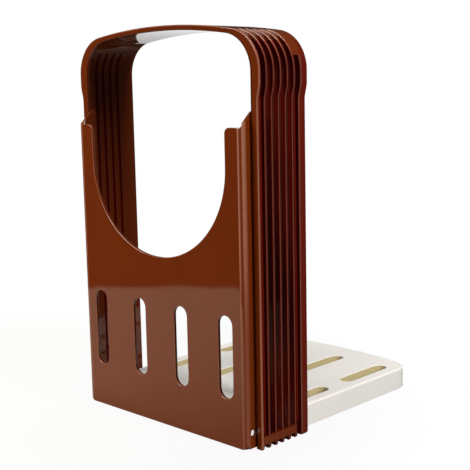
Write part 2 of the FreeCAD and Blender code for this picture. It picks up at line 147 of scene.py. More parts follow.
def boxed(low: tuple[float, float], high: tuple[float, float], across: int,
          up: int) -> np.ndarray:
    """Closed border of a rectangle, anticlockwise from its lower left corner.

    Args:
        low: Lower left corner.
        high: Upper right corner.
        across: Segments of the lower and upper side.
        up: Segments of the left and right side.

    Returns:
        Points (2 across + 2 up + 1, 2).
    """
    (a, c), (b, d) = low, high
    return joined(straight((a, c), (b, c), across), straight((b, c), (b, d), up),
                  straight((b, d), (a, d), across), straight((a, d), (a, c), up))


def turned(profile: np.ndarray, axis: tuple[float, float], steps: int) -> np.ndarray:
    """Profile turned about a line along X: (x, axis Y + r cos t, axis Z + r sin t).

    Args:
        profile: Points (n, 2) of X and radius r.
        axis: Y and Z of the line.
        steps: Segments of the full turn.

    Returns:
        Array (steps + 1, n, 3).
    """
    turn = np.linspace(0.0, AROUND, steps + 1)[:, None]
    x, radius = profile.T
    return spread(x, axis[0] + radius * np.cos(turn), axis[1] + radius * np.sin(turn))


def placed(name: str, data: bpy.types.ID) -> bpy.types.Object:
    """Makes an object of the data and puts it in the scene.

    Args:
        name: Name of the object.
        data: Mesh, lamp or camera data.

    Returns:
        The object.
    """
    thing = bpy.data.objects.new(name, data)
    bpy.context.collection.objects.link(thing)
    return thing


class Shell:
    """Grids of points gathered into one mesh."""

    def __init__(self, name: str) -> None:
        """Starts an empty shell.

        Args:
            name: Name of the piece.
        """
        self.name = name
        self._points: list[np.ndarray] = []
        self._marks: list[np.ndarray] = []
        self._quads: list[np.ndarray] = []
        self._tags: list[np.ndarray] = []
        self._caps: list[np.ndarray] = []
        self._count = 0

    def add(self, points: np.ndarray, shade: np.ndarray | float = 0.0,
            painted_highlight: np.ndarray | float = 0.0) -> np.ndarray:
        """Adds points and returns their numbers in the same arrangement.

        Args:
            points: Array (..., 3) in millimetres.
            shade: Painted shade of each point, darkening its colour, zero to one.
            painted_highlight: Painted highlight of each point, brightening its colour, zero to one.

        Returns:
            Integer array of the leading shape.
        """
        flat = np.asarray(points, float).reshape(-1, 3)
        numbers = np.arange(self._count, self._count + len(flat)).reshape(points.shape[:-1])
        self._points.append(flat)
        self._marks.append(np.stack([np.broadcast_to(mark, points.shape[:-1]).ravel()
                                     for mark in (shade, painted_highlight)], axis=-1))
        self._count += len(flat)
        return numbers

    def weave(self, numbers: np.ndarray, keep: np.ndarray | None = None,
              tag: np.ndarray | int = 0) -> None:
        """Joins a grid of point numbers into quads.

        Args:
            numbers: Integer array (n, m).
            keep: Boolean array (n - 1, m - 1) of the cells that hold material, or None for all.
            tag: Material number of the quads, one for all or one for each cell.
        """
        quads = np.stack([numbers[:-1, :-1], numbers[1:, :-1], numbers[1:, 1:],
                          numbers[:-1, 1:]], axis=-1)
        tags = np.broadcast_to(tag, quads.shape[:2])
        chosen = np.ones(tags.shape, bool) if keep is None else keep
        self._quads.append(quads[chosen])
        self._tags.append(tags[chosen])

    def grid(self, points: np.ndarray, tag: int = 0) -> None:
        """Adds a grid of points (n, m, 3) with all its quads."""
        self.weave(self.add(points), tag=tag)

    def cap(self, numbers: np.ndarray) -> None:
        """Closes a ring of point numbers with one flat face."""
        self._caps.append(np.asarray(numbers).ravel())

    def _welded(self, weld: float) -> tuple[np.ndarray, list[list[int]], list[int]]:
        """Merges near points and leaves out what that makes of no size.

        Faces that lose one corner become triangles, and faces that lose more are dropped.

        Args:
            weld: Distance in millimetres within which points are merged.

        Returns:
            Numbers of the points that stay, faces by their new numbers, and the faces' tags.
        """
        keys = np.round(np.concatenate(self._points) / weld + WELD_SHIFT).astype(np.int64)
        _, first, inverse = np.unique(keys, axis=0, return_index=True, return_inverse=True)
        inverse = inverse.ravel()
        quads = inverse[np.concatenate(self._quads)]
        tags = np.concatenate(self._tags)
        lost = quads == np.roll(quads, -1, axis=1)
        whole = (~lost.any(axis=1) & (quads[:, 0] != quads[:, 2])
                 & (quads[:, 1] != quads[:, 3]))
        single = lost.sum(axis=1) == 1
        triangles = quads[single][~lost[single]].reshape(-1, 3)
        sound = (triangles != np.roll(triangles, -1, axis=1)).all(axis=1)
        rings = [ring[ring != np.roll(ring, -1)] for ring in (inverse[cap] for cap in self._caps)]
        rings = [ring for ring in rings if len(ring) > 2 and len(np.unique(ring)) == len(ring)]
        faces = quads[whole].tolist() + triangles[sound].tolist() + [r.tolist() for r in rings]
        numbers = tags[whole].tolist() + tags[single][sound].tolist() + [0] * len(rings)
        return first, faces, numbers

    def build(self, materials: list[bpy.types.Material], sharp: float = 32.0,
              weld: float = 0.002) -> bpy.types.Object:
        """Makes the object, with normals turned outwards and its marks as attributes.

        Args:
            materials: Materials in the order of the tags.
            sharp: Angle in degrees above which an edge is shaded sharp.
            weld: Distance in millimetres within which points are merged.

        Returns:
            The finished object at the origin.
        """
        first, faces, numbers = self._welded(weld)
        mesh = bpy.data.meshes.new(self.name)
        mesh.from_pydata(settle(np.concatenate(self._points)[first]).tolist(), [], faces)
        mesh.polygons.foreach_set("material_index", np.asarray(numbers, np.int32))
        for material in materials:
            mesh.materials.append(material)
        work = bmesh.new()
        work.from_mesh(mesh)
        bmesh.ops.recalc_face_normals(work, faces=work.faces)
        work.to_mesh(mesh)
        work.free()
        mesh.update()
        for name, values in zip(("shade", "painted_highlight"), np.concatenate(self._marks)[first].T):
            mark = mesh.attributes.new(name, "FLOAT", "POINT")
            mark.data.foreach_set("value", np.ascontiguousarray(values, np.float32))
        mesh.shade_smooth()
        mesh.set_sharp_from_angle(angle=math.radians(sharp))
        piece = placed(self.name, mesh)
        even = piece.modifiers.new("even_shading", "WEIGHTED_NORMAL")
        even.keep_sharp = True
        even.weight = 50
        LOG.info("%s: %d points, %d faces", self.name, len(mesh.vertices), len(mesh.polygons))
        return piece


# ------------------------------------------------------------------------------------------
# Shader node groups that more than one finish uses
# ------------------------------------------------------------------------------------------
class Weave:
    """Thin helper for laying out nodes and links in one tree."""

    def __init__(self, tree: bpy.types.NodeTree) -> None:
        """Works on the given tree."""
        self.tree = tree

    @classmethod
    def fresh(cls, owner: bpy.types.Material | bpy.types.World) -> Weave:
        """Empties the node tree of a material or world and works on it.

        Args:
            owner: The material or world.

        Returns:
            The helper.
        """
        owner.use_nodes = True
        owner.node_tree.nodes.clear()
        return cls(owner.node_tree)

    def node(self, kind: str, **values: object) -> bpy.types.Node:
        """Adds a node.

        Args:
            kind: Node type name.
            values: Node properties, and input values or sockets whose names start with in_.

        Returns:
            The node.
        """
        node = self.tree.nodes.new(kind)
        for name, value in values.items():
            if name.startswith("in_"):
                self.feed(node.inputs[name[3:].replace("_", " ")], value)
            else:
                setattr(node, name, value)
        return node

    def link(self, source: bpy.types.NodeSocket, target: bpy.types.NodeSocket) -> None:
        """Links two sockets."""
        self.tree.links.new(source, target)

    def feed(self, target: bpy.types.NodeSocket, value: object) -> None:
        """Links a socket to an input, or sets the input to a plain value.

        Args:
            target: The input.
            value: Socket, number or colour.
        """
        if isinstance(value, bpy.types.NodeSocket):
            self.link(value, target)
        else:
            target.default_value = value

    def math(self, operation: str, *values: object) -> bpy.types.NodeSocket:
        """Adds a Math node and returns its result.

        Args:
            operation: Math operation.
            values: Numbers or sockets for its inputs.

        Returns:
            The output socket.
        """
        node = self.node("ShaderNodeMath", operation=operation)
        for socket, value in zip(node.inputs, values):
            self.feed(socket, value)
        return node.outputs[0]

    def mix(self, factor: bpy.types.NodeSocket, low: bpy.types.NodeSocket | Colour,
            high: Colour) -> bpy.types.NodeSocket:
        """Mixes two colours.

        Args:
            factor: Share of the second colour.
            low: First colour or socket.
            high: Second colour.

        Returns:
            The colour socket.
        """
        node = self.node("ShaderNodeMix", data_type="RGBA", in_Factor=factor)
        self.feed(node.inputs[6], (*low, 1.0) if isinstance(low, tuple) else low)
        self.feed(node.inputs[7], (*high, 1.0))
        return node.outputs[2]

    def noise(self, scale: float, detail: float, roughness: float) -> bpy.types.NodeSocket:
        """Adds a noise on Object coordinates.

        Args:
            scale: Cells in a metre.
            detail: Octaves.
            roughness: Share of the finer octaves.

        Returns:
            The factor socket.
        """
        place = self.node("ShaderNodeTexCoord").outputs["Object"]
        return self.node("ShaderNodeTexNoise", in_Scale=scale, in_Detail=detail,
                         in_Roughness=roughness, in_Vector=place).outputs["Fac"]


class SharedEffects:
    """Builds the node groups once and hands them out."""

    def __init__(self) -> None:
        """Builds every group."""
        self.mould_flow = self._mould_flow()
        self.painted_edge_highlight = self._painted_edge_highlight()
        self.light_dust = self._light_dust()
        self.recess_shade = self._recess_shade()

    @staticmethod
    def _start(name: str, inputs: dict[str, float],
               outputs: tuple[str, ...]) -> tuple[Weave, bpy.types.Node, bpy.types.Node]:
        """Makes an empty group whose sockets are all numbers.

        Args:
            name: Name of the group.
            inputs: Name and default of each input.
            outputs: Name of each output.

        Returns:
            The group's helper, its input node and its output node.
        """
        group = bpy.data.node_groups.new(name, "ShaderNodeTree")
        for label, default in inputs.items():
            socket = group.interface.new_socket(label, in_out="INPUT",
                                                socket_type="NodeSocketFloat")
            socket.default_value = default
        for label in outputs:
            group.interface.new_socket(label, in_out="OUTPUT", socket_type="NodeSocketFloat")
        weave = Weave(group)
        return weave, weave.node("NodeGroupInput"), weave.node("NodeGroupOutput")

    def _mould_flow(self) -> bpy.types.NodeTree:
        """Waviness of a moulded skin: a slow sink-mark swell and a fine orange peel.

        Height = swell share of a 22 mm noise plus peel share of a 1.1 mm noise. Tone is a slow
        noise around one half for small colour and gloss differences.

        Returns:
            The group.
        """
        weave, source, sink = self._start("mould_flow", {"Swell": 1.0, "Peel": 0.2},
                                          ("Height", "Tone"))
        swell = weave.math("MULTIPLY", weave.noise(45.0, 1.5, 0.4), source.outputs["Swell"])
        peel = weave.math("MULTIPLY", weave.noise(900.0, 2.0, 0.55), source.outputs["Peel"])
        weave.link(weave.math("ADD", swell, peel), sink.inputs["Height"])
        weave.link(weave.noise(19.0, 3.0, 0.5), sink.inputs["Tone"])
        return weave.tree

    def _painted_edge_highlight(self) -> bpy.types.NodeTree:
        """Mask of painted edge highlights: the piece's own highlight mark, broken up by 4 mm noise.

        Mask = Amount times the highlight mark times (1 - Breakup times noise).

        Returns:
            The group.
        """
        weave, source, sink = self._start("painted_edge_highlight", {"Amount": 0.5, "Breakup": 0.5},
                                          ("Mask",))
        mark = weave.node("ShaderNodeAttribute", attribute_name="painted_highlight")
        broken = weave.math("MULTIPLY", weave.noise(260.0, 3.0, 0.5), source.outputs["Breakup"])
        kept = weave.math("SUBTRACT", 1.0, broken)
        painted_highlight = weave.math("MULTIPLY", mark.outputs["Fac"], kept)
        weave.link(weave.math("MULTIPLY", painted_highlight, source.outputs["Amount"]), sink.inputs["Mask"])
        return weave.tree

    def _recess_shade(self) -> bpy.types.NodeTree:
        """Masks of painted shade from the shade mark: one half is the shaded side, one is a gap.

        Side = shade times two, up to one. Deep = what is left above one half, times two.

        Returns:
            The group.
        """
        weave, source, sink = self._start("recess_shade", {"Amount": 1.0}, ("Side", "Deep"))
        mark = weave.node("ShaderNodeAttribute", attribute_name="shade")
        double = weave.math("MULTIPLY", mark.outputs["Fac"], 2.0)
        side = weave.math("MINIMUM", double, 1.0)
        deep = weave.math("MAXIMUM", weave.math("SUBTRACT", double, 1.0), 0.0)
        for label, mask in (("Side", side), ("Deep", deep)):
            weave.link(weave.math("MULTIPLY", mask, source.outputs["Amount"]),
                       sink.inputs[label])
        return weave.tree

    def _light_dust(self) -> bpy.types.NodeTree:
        """Mask of fine dust and fingerprints: level surfaces first, with soft patches.

        Mask = Amount times (1 - Patches + Patches times noise) times a smooth step of the
        normal's Z, which is a quarter on walls and one on level tops.

        Returns:
            The group.
        """
        weave, source, sink = self._start("light_dust", {"Amount": 0.3, "Patches": 0.5},
                                          ("Mask",))
        form = weave.node("ShaderNodeNewGeometry")
        split = weave.node("ShaderNodeSeparateXYZ", in_Vector=form.outputs["Normal"])
        level = weave.node("ShaderNodeMapRange", interpolation_type="SMOOTHSTEP",
                           in_Value=split.outputs["Z"], in_From_Min=-0.2, in_From_Max=1.0,
                           in_To_Min=0.25)
        soft = weave.math("MULTIPLY", weave.noise(38.0, 4.0, 0.6), source.outputs["Patches"])
        cover = weave.math("ADD", soft, weave.math("SUBTRACT", 1.0, source.outputs["Patches"]))
        settled = weave.math("MULTIPLY", cover, level.outputs["Result"])
        weave.link(weave.math("MULTIPLY", settled, source.outputs["Amount"]),
                   sink.inputs["Mask"])
        return weave.tree


# ------------------------------------------------------------------------------------------
# Finishes
# ------------------------------------------------------------------------------------------
@dataclass(frozen=True)
class MouldedPlastic:
    """Injection-moulded plastic with its own depth of colour and gloss."""

    name: str
    colour: Colour
    drift: Colour                             # second tone of the slow colour drift
    painted_highlight: Colour                              # colour of painted edge highlights
    gloss: tuple[float, float]                # roughness where the skin is best and dullest
    swell: float
    peel: float
    bump_mm: float
    # strength of the painted edge highlight
    highlight_amount: float
    dust: float
    side: Colour = (0.5, 0.45, 0.4)           # colour of painted shade on the shaded side
    recess: Colour = (0.10, 0.08, 0.06)       # colour of painted shade deep in a narrow gap
    specular: float = 0.5
    subsurface: float = 0.0
    breakup: float = 0.3
    patches: float = 0.6
    dust_colour: Colour = (0.62, 0.58, 0.53)
    dust_matt: float = 0.5                    # roughness that full dust adds
    deep_matt: float = 0.05                   # roughness that a deep gap adds

    def material(self, effects: SharedEffects) -> bpy.types.Material:
        """Builds the material.

        Args:
            effects: The shared node groups.

        Returns:
            The material.
        """
        material = bpy.data.materials.new(self.name)
        weave = Weave.fresh(material)
        shader = weave.node(
            "ShaderNodeBsdfPrincipled", in_Specular_IOR_Level=self.specular,
            in_Subsurface_Weight=self.subsurface, in_Subsurface_Radius=(0.004, 0.003, 0.002),
            in_Subsurface_Scale=1.0)
        weave.node("ShaderNodeOutputMaterial", in_Surface=shader.outputs["BSDF"])

        flow = weave.node("ShaderNodeGroup", node_tree=effects.mould_flow, in_Swell=self.swell,
                          in_Peel=self.peel)
        highlight_amount = weave.node("ShaderNodeGroup", node_tree=effects.painted_edge_highlight, in_Amount=self.highlight_amount,
                          in_Breakup=self.breakup)
        dust = weave.node("ShaderNodeGroup", node_tree=effects.light_dust, in_Amount=self.dust,
                          in_Patches=self.patches)
        hollow = weave.node("ShaderNodeGroup", node_tree=effects.recess_shade, in_Amount=1.0)

        # Colour drift, then painted shade in two steps, painted edge highlights and dust.
        tone = weave.mix(flow.outputs["Tone"], self.colour, self.drift)
        tone = weave.mix(hollow.outputs["Side"], tone, self.side)
        tone = weave.mix(hollow.outputs["Deep"], tone, self.recess)
        tone = weave.mix(highlight_amount.outputs["Mask"], tone, self.painted_highlight)
        tone = weave.mix(dust.outputs["Mask"], tone, self.dust_colour)
        weave.link(tone, shader.inputs["Base Color"])

        best, dullest = self.gloss
        rough = weave.math("MULTIPLY_ADD", flow.outputs["Tone"], dullest - best, best)
        rough = weave.math("MULTIPLY_ADD", dust.outputs["Mask"], self.dust_matt, rough)
        rough = weave.math("MULTIPLY_ADD", hollow.outputs["Deep"], self.deep_matt, rough)
        weave.link(rough, shader.inputs["Roughness"])

        bump = weave.node("ShaderNodeBump", in_Strength=1.0, in_Distance=self.bump_mm * MM,
                          in_Height=flow.outputs["Height"])
        weave.link(bump.outputs["Normal"], shader.inputs["Normal"])
        return material


class Finish(Enum):
    """The finishes of this object."""

    BROWN = MouldedPlastic(
        "deep_brown_gloss", (0.128, 0.0205, 0.0018), (0.112, 0.0160, 0.0012),
        (0.42, 0.185, 0.115), gloss=(0.035, 0.065), swell=1.0, peel=0.03, bump_mm=0.05,
        highlight_amount=0.9, dust=0.006, side=(0.098, 0.0034, 0.0002), recess=(0.014, 0.0007, 0.0001))
    # Copy of the brown with painted shade colours and duller gloss, for the gaps and fin tips.
    SHADED_BROWN = MouldedPlastic(
        "deep_brown_painted_shade", (0.128, 0.0205, 0.0018), (0.112, 0.0160, 0.0012),
        (0.52, 0.125, 0.080), gloss=(0.10, 0.16), swell=1.0, peel=0.03, bump_mm=0.05,
        highlight_amount=0.9, dust=0.006, side=(0.020, 0.0010, 0.0002), recess=(0.105, 0.0035, 0.0005),
        specular=0.06)
    WHITE = MouldedPlastic(
        "warm_white_satin", (0.84, 0.825, 0.795), (0.82, 0.80, 0.76), (0.88, 0.87, 0.83),
        gloss=(0.28, 0.40), swell=0.6, peel=0.25, bump_mm=0.05, highlight_amount=0.3, dust=0.010,
        specular=0.4, subsurface=0.05)
    SLOT = MouldedPlastic(
        "slot_wall_olive", (0.60, 0.51, 0.29), (0.54, 0.45, 0.24), (0.64, 0.56, 0.36),
        gloss=(0.40, 0.55), swell=0.6, peel=0.3, bump_mm=0.05, highlight_amount=0.2, dust=0.02,
        specular=0.35)
    PIN = MouldedPlastic(
        "pin_white_gloss", (0.92, 0.91, 0.89), (0.90, 0.89, 0.87), (0.93, 0.92, 0.90),
        gloss=(0.20, 0.30), swell=0.6, peel=0.2, bump_mm=0.03, highlight_amount=0.2, dust=0.01)


# ------------------------------------------------------------------------------------------
# Comb frame
# ------------------------------------------------------------------------------------------
@dataclass(frozen=True)
class ArchLine:
    """One line of the arch in the XZ plane: leg, corner, crown, corner, leg.

    The parameter u runs from 0 to 5: 0 to 1 up the left leg, 1 to 2 round the left corner,
    2 to 3 along the crown, 3 to 4 round the right corner and 4 to 5 down the right leg.
    """

    left: float
    right: float
    top: float
    crown: float
    bend: float
    swell: float = 0.0
    swell_low: float = 204.5
    swell_high: float = 215.0

    def corner(self, half: float) -> tuple[float, float, float]:
        """Finds the corner circle that touches the leg and the crown.

        Args:
            half: X of the leg.

        Returns:
            X and Z of the centre, and the angle from the X axis at which it meets the crown.
        """
        x = half - self.bend
        low = self.top - self.crown
        z = low + math.sqrt((self.crown - self.bend) ** 2 - x ** 2)
        return x, z, math.atan2(z - low, x)

    def _narrow(self, z: np.ndarray) -> np.ndarray:
        """How much of the head's swelling is missing at that height."""
        share = (z - self.swell_low) / (self.swell_high - self.swell_low)
        return self.swell * (1.0 - smooth(share))

    def points(self, u: np.ndarray) -> np.ndarray:
        """Points of the line.

        Legs are straight, with a smooth step outwards below the head; corners and crown are
        circular arcs that meet without a kink.

        Args:
            u: Parameters in any arrangement.

        Returns:
            Array (..., 2) of X and Z in millimetres.
        """
        lx, lz, la = self.corner(self.left)
        rx, rz, ra = self.corner(self.right)
        low = self.top - self.crown
        section = np.clip(np.floor(u), 0, 4).astype(int)
        t = np.minimum(u - section, 1.0)
        left_z, right_z = lz * t, rz * (1.0 - t)
        left_turn, right_turn = math.pi - la * t, ra * (1.0 - t)
        mid_turn = (math.pi - la) * (1.0 - t) + ra * t
        x = np.choose(section, [
            self._narrow(left_z) - self.left, -lx + self.bend * np.cos(left_turn),
            self.crown * np.cos(mid_turn), rx + self.bend * np.cos(right_turn),
            self.right - self._narrow(right_z)])
        z = np.choose(section, [
            left_z, lz + self.bend * np.sin(left_turn), low + self.crown * np.sin(mid_turn),
            rz + self.bend * np.sin(right_turn), right_z])
        return spread(x, z)


class Line(Enum):
    """Lines of the arch that a column of points may follow."""

    OUTSIDE = 0
    WALL = 1
    LIP = 2


@dataclass(frozen=True)
class Column:
    """One point of the section that is carried along the arch."""

    line: int                  # value of the Line that it follows
    inset: float = 0.0         # constant inset from that line
    recess: float = 0.0        # share of the gap's depth in the inset
    fin_edge: float = 0.0      # share of the fin edge's radius in the inset
    groove: float = 0.0        # share of the groove's depth in the inset
    lip_edge: float = 0.0      # share of the lip edge's radius in the inset
    y: float = 0.0             # constant Y
    y_fin: float = 0.0         # share of the fin edge's radius in Y
    y_lip: float = 0.0         # share of the lip edge's radius in Y
    gap: int = -1              # gap that it lies beside or in, or -1
    place: float = 0.0         # place across that gap, -1 to 1
    fin: int = 0               # fin that it belongs to


@dataclass(frozen=True)
class Course:
    """The arch's lines and hollows for every row (first axis) and column (second axis)."""

    columns: np.recarray
    u: np.ndarray
    outside: np.ndarray
    wall: np.ndarray
    rim: np.ndarray
    inward: np.ndarray         # unit vectors from the outside to the wall
    depth: np.ndarray          # depth of the gaps between the fins
    channel: np.ndarray        # depth of the grooves inside


@dataclass(frozen=True)
class CombTone:
    """Painted shade and highlights of the comb. Lengths along the arch are in its parameter u."""

    tip: float = 0.5           # shade of the fin tips, where a gap has one
    front: float = 0.12        # shade of the front band
    shine_left: float = 0.15   # share of the painted shade above the upper end of the gaps
    gloom_early: float = 0.08  # how far before the upper end the shade begins
    gloom_run: float = 0.10    # length over which it becomes full
    fade_early: float = 0.05   # the same two for the painted highlight, which gets weaker
    fade_run: float = 0.45
    fade: float = 0.40         # share of the painted highlight that is lost below
    sunk_mm: float = 1.2       # gap depth with full shade
    crest_mm: float = 0.8      # gap depth with full painted highlight
    painted_groove_shade: float = 0.7        # painted shade beside the grooves
    painted_groove_place: float = 0.45
    groove_mm: float = 0.8     # groove depth with full shade
    crest: tuple[float, float, float] = (1.5, 3.5, 0.4)  # top, slope, middle of the painted highlight line on each fin
    front_rim: float = 0.55    # painted highlight of the front edge and of the rear one
    rear_rim: float = 0.12
    rim_span: tuple[float, float] = (0.05, 0.7)          # insets that count as rim
    tag_gloom: float = 0.5     # least shade, depth and edge share of the brown with painted shade
    tag_mm: float = 0.4
    tag_edge: float = 0.6
    tag_sunk: float = 0.65


@dataclass
class CombFrame:
    """The arch with its comb of fins on the right leg."""

    height: float = 250.0
    leg_half: float = 79.2
    swell: float = 1.8
    crown: float = 400.0
    bend: float = 24.0
    inner_bend: float = 22.0
    band: float = 3.2
    left_wall: float = 2.5
    right_inside: float = 75.2
    lip_half: float = 74.0
    lip: float = 2.0
    fin: float = 2.0
    pitch: float = 5.93
    gaps: int = 6
    depth: float = 41.7
    floor_half: float = 76.4
    merge_x: float = 50.0
    deepest: float = 6.0
    slot_low: float = 8.4
    slot_top: float = 238.0
    slot_bend: float = 9.0     # length along the arch over which the rows bend to the slot's end
    bar_low: float = 3.3
    bar_round: float = 0.4
    last_top: float = 228.5
    foot_round: float = 1.8
    foot_edge: float = 1.0     # radius to which the fin feet narrow in Y
    groove: float = 1.0
    groove_top: float = 237.5
    groove_low: float = 4.0
    edge: float = 0.9
    inner_edge: float = 0.5
    fin_edge: float = 0.7
    lip_edge: float = 0.4
    edge_share: float = 0.45   # largest share of a step that its rounding may take
    across: tuple[float, ...] = (-1.0, -0.93, -0.74, -0.39, -0.35, 0.0,
                                 0.35, 0.39, 0.74, 0.93, 1.0)
    groove_place: float = 0.37
    groove_fade: float = 0.018                                    # length in u
    last_fade: tuple[float, ...] = (-0.05, -0.03, -0.012, 0.0)    # places in u, and shares
    last_share: tuple[float, ...] = (0.0, 0.55, 0.9, 1.0)
    tone: CombTone = CombTone()

    def __post_init__(self) -> None:
        """Sets up the three lines, and where along them gaps and grooves end."""
        head = self.leg_half + self.swell
        self.outside = ArchLine(head, head, self.height, self.crown, self.bend, self.swell)
        inner = (self.height - self.band, self.crown - self.band, self.inner_bend)
        self.wall = ArchLine(self.leg_half - self.left_wall, self.right_inside, *inner)
        self.rim = ArchLine(self.lip_half, self.lip_half, *inner)
        _, self.leg, full = self.outside.corner(head)
        self.corner_length = self.bend * full
        stop, late, groove_end = (math.asin((top - self.leg) / self.bend) / full for top in
                                  (self.slot_top, self.last_top, self.groove_top))
        self.stop, self.late, self.groove_end = 4.0 - stop, 4.0 - late, 1.0 + groove_end
        self.groove_start = self.groove_low / self.leg

    def _is_slot(self, gap: np.ndarray | int) -> np.ndarray | bool:
        """Whether a gap goes right through: the first and the last one are blind."""
        return (gap > 0) & (gap < self.gaps - 1)

    def _gap_columns(self, gap: int, line: Line) -> list[Column]:
        """Columns across one gap, from front to back.

        Args:
            gap: Number of the gap.
            line: OUTSIDE for its floor, WALL for the inside with its groove.

        Returns:
            The columns.
        """
        start, end = gap * self.pitch + self.fin, (gap + 1) * self.pitch
        floor = line is Line.OUTSIDE
        grooved = not floor and self._is_slot(gap)
        return [Column(line.value, recess=float(floor),
                       groove=-float(grooved and abs(s) < self.groove_place),
                       y=(start + end) / 2 + s * (end - start) / 2, gap=gap, place=s,
                       fin=gap if s < 0 else gap + 1) for s in self.across]

    def _section(self) -> tuple[np.recarray, np.ndarray, np.ndarray]:
        """Lays out the closed section: outside from front to back, then inside back to front.

        Returns:
            The columns, and the numbers of those across each gap, outside and inside.
        """
        edge = list(zip(*quarter(4)))
        skin, wall, lip = (line.value for line in Line)
        last, wide = self.gaps, np.arange(len(self.across))
        columns = [Column(skin, inset=self.edge * far, y=self.edge * down) for far, down in edge]
        outer, inner = [], []
        for g in range(last):
            start, end = g * self.pitch + self.fin, (g + 1) * self.pitch
            columns += [Column(skin, fin_edge=down, y=start, y_fin=-far, gap=g, place=-1.0, fin=g)
                        for far, down in edge]
            outer.append(len(columns) + wide)
            columns += self._gap_columns(g, Line.OUTSIDE)
            columns += [Column(skin, fin_edge=down, y=end, y_fin=far, gap=g, place=1.0, fin=g + 1)
                        for far, down in edge[::-1]]
        columns += [Column(skin, inset=self.edge * down, y=self.depth - self.edge * far, fin=last)
                    for far, down in edge]
        columns += [Column(wall, inset=-self.inner_edge * far,
                           y=self.depth - self.inner_edge * down, fin=last)
                    for far, down in edge]
        for g in reversed(range(last)):
            inner.insert(0, len(columns) + wide)
            columns += self._gap_columns(g, Line.WALL)[::-1]
        columns += [Column(lip, lip_edge=-far, y=self.lip, y_lip=-down) for far, down in edge]
        columns += [Column(lip, inset=-self.inner_edge * down, y=self.inner_edge * far)
                    for far, down in edge[::-1]]
        table = np.rec.fromrecords([astuple(column) for column in columns],
                                   names=[part.name for part in fields(Column)])
        return table, np.array(outer), np.array(inner)

    def _stations(self) -> np.ndarray:
        """Places along the arch where a ring of points stands.

        Returns:
            Parameters u in rising order.
        """
        feet = [0.0, 0.134, 0.5, 1.0, 1.4, 1.8, self.groove_low, 14.0]
        rises = np.concatenate([
            feet, self._bar_levels()[0], np.linspace(24.0, 200.0, 12),
            np.linspace(self.outside.swell_low, self.outside.swell_high, 11)]) / self.leg
        groove = self.groove_end + np.array([0.0, self.groove_fade])
        gaps = np.array([self.stop, *(self.late + step for step in self.last_fade)])
        return np.unique(np.round(np.concatenate([
            rises, np.linspace(1.0, 2.0, 22), groove, np.linspace(2.0, 3.0, 49),
            np.linspace(3.0, 4.0, 34), gaps, 5.0 - rises]), 7))

    def _bar_levels(self) -> tuple[np.ndarray, np.ndarray]:
        """Form of the bar between the feet: flush, with rounded edges, and open beyond them.

        Returns:
            Heights, and how far the face lies behind the fin tips there.
        """
        step, beyond = 0.05, 9.0
        behind = np.array([beyond, self.bar_round, 0.3 * self.bar_round, 0.0])
        rise = np.array([-step, 0.0, 0.3 * self.bar_round, self.bar_round])
        return (np.concatenate([self.bar_low + rise, self.slot_low - rise[::-1]]),
                np.concatenate([behind, behind[::-1]]))

    def _recess(self, u: np.ndarray, outside: np.ndarray, inward: np.ndarray) -> np.ndarray:
        """Depth of the gaps between the fins.

        Beside the leg the floor is a plane; round the corner it is the circle that leaves that
        plane without a kink and reaches the crown at merge_x, and beyond it there is no gap.

        Args:
            u: Parameters along the arch.
            outside: Points of the outside line.
            inward: Unit vectors from the outside to the inside.

        Returns:
            Depth in millimetres for every parameter.
        """
        crown_z = self.height - self.crown + math.sqrt(self.crown ** 2 - self.merge_x ** 2)
        run = self.floor_half - self.merge_x
        radius = (run ** 2 + (crown_z - self.leg) ** 2) / (2.0 * run)
        away = outside - np.array([self.floor_half - radius, self.leg])
        along = np.sum(away * inward, axis=-1)
        spare = np.maximum(along ** 2 - (np.sum(away ** 2, axis=-1) - radius ** 2), 0.0)
        flat = (outside[..., 0] - self.floor_half) / np.maximum(-inward[..., 0], 1e-3)
        depth = np.where(u >= 4.0, flat, -along - np.sqrt(spare))
        return np.where((u > 2.5) & (outside[..., 0] > self.merge_x),
                        np.clip(depth, 0.0, self.deepest), 0.0)

    def _course(self, columns: np.recarray, rows: np.ndarray) -> Course:
        """Follows the lines, with the rows beside a slot's upper end bent to its half circle.

        Args:
            columns: The section.
            rows: Parameters of the rings.

        Returns:
            Lines and hollows for every row and column.
        """
        gap = columns.gap
        on_floor = (columns.recess > 0) | ((columns.line == Line.WALL.value) & (gap >= 0))
        sag = 1.0 - np.sqrt(np.clip(1.0 - columns.place ** 2, 0.0, 1.0))
        dip = (self.pitch - self.fin) / 2 * sag * self._is_slot(gap) * on_floor
        away = np.abs(rows - self.stop) * self.corner_length
        near = np.clip(1.0 - away / self.slot_bend, 0.0, 1.0)
        u = rows[:, None] + near[:, None] * dip / self.corner_length
        outside, wall, rim = (line.points(u) for line in (self.outside, self.wall, self.rim))
        inward = wall - outside
        inward /= np.linalg.norm(inward, axis=-1, keepdims=True)
        depth = self._recess(u, outside, inward)
        closed = np.interp(u, self.late + np.array(self.last_fade), self.last_share)
        depth = np.where(gap == self.gaps - 1, depth * closed, depth)
        bar = np.interp(outside[..., 1], *self._bar_levels())
        barred = (u > 4.0) & (gap < self.gaps - 1) & (gap >= 0)
        depth = np.where(barred, np.minimum(depth, bar), depth)
        channel = self.groove * np.interp(
            u, [self.groove_start - 1e-4, self.groove_start, self.groove_end,
                self.groove_end + self.groove_fade], [0.0, 1.0, 1.0, 0.0])
        return Course(columns, u, outside, wall, rim, inward, depth, channel)

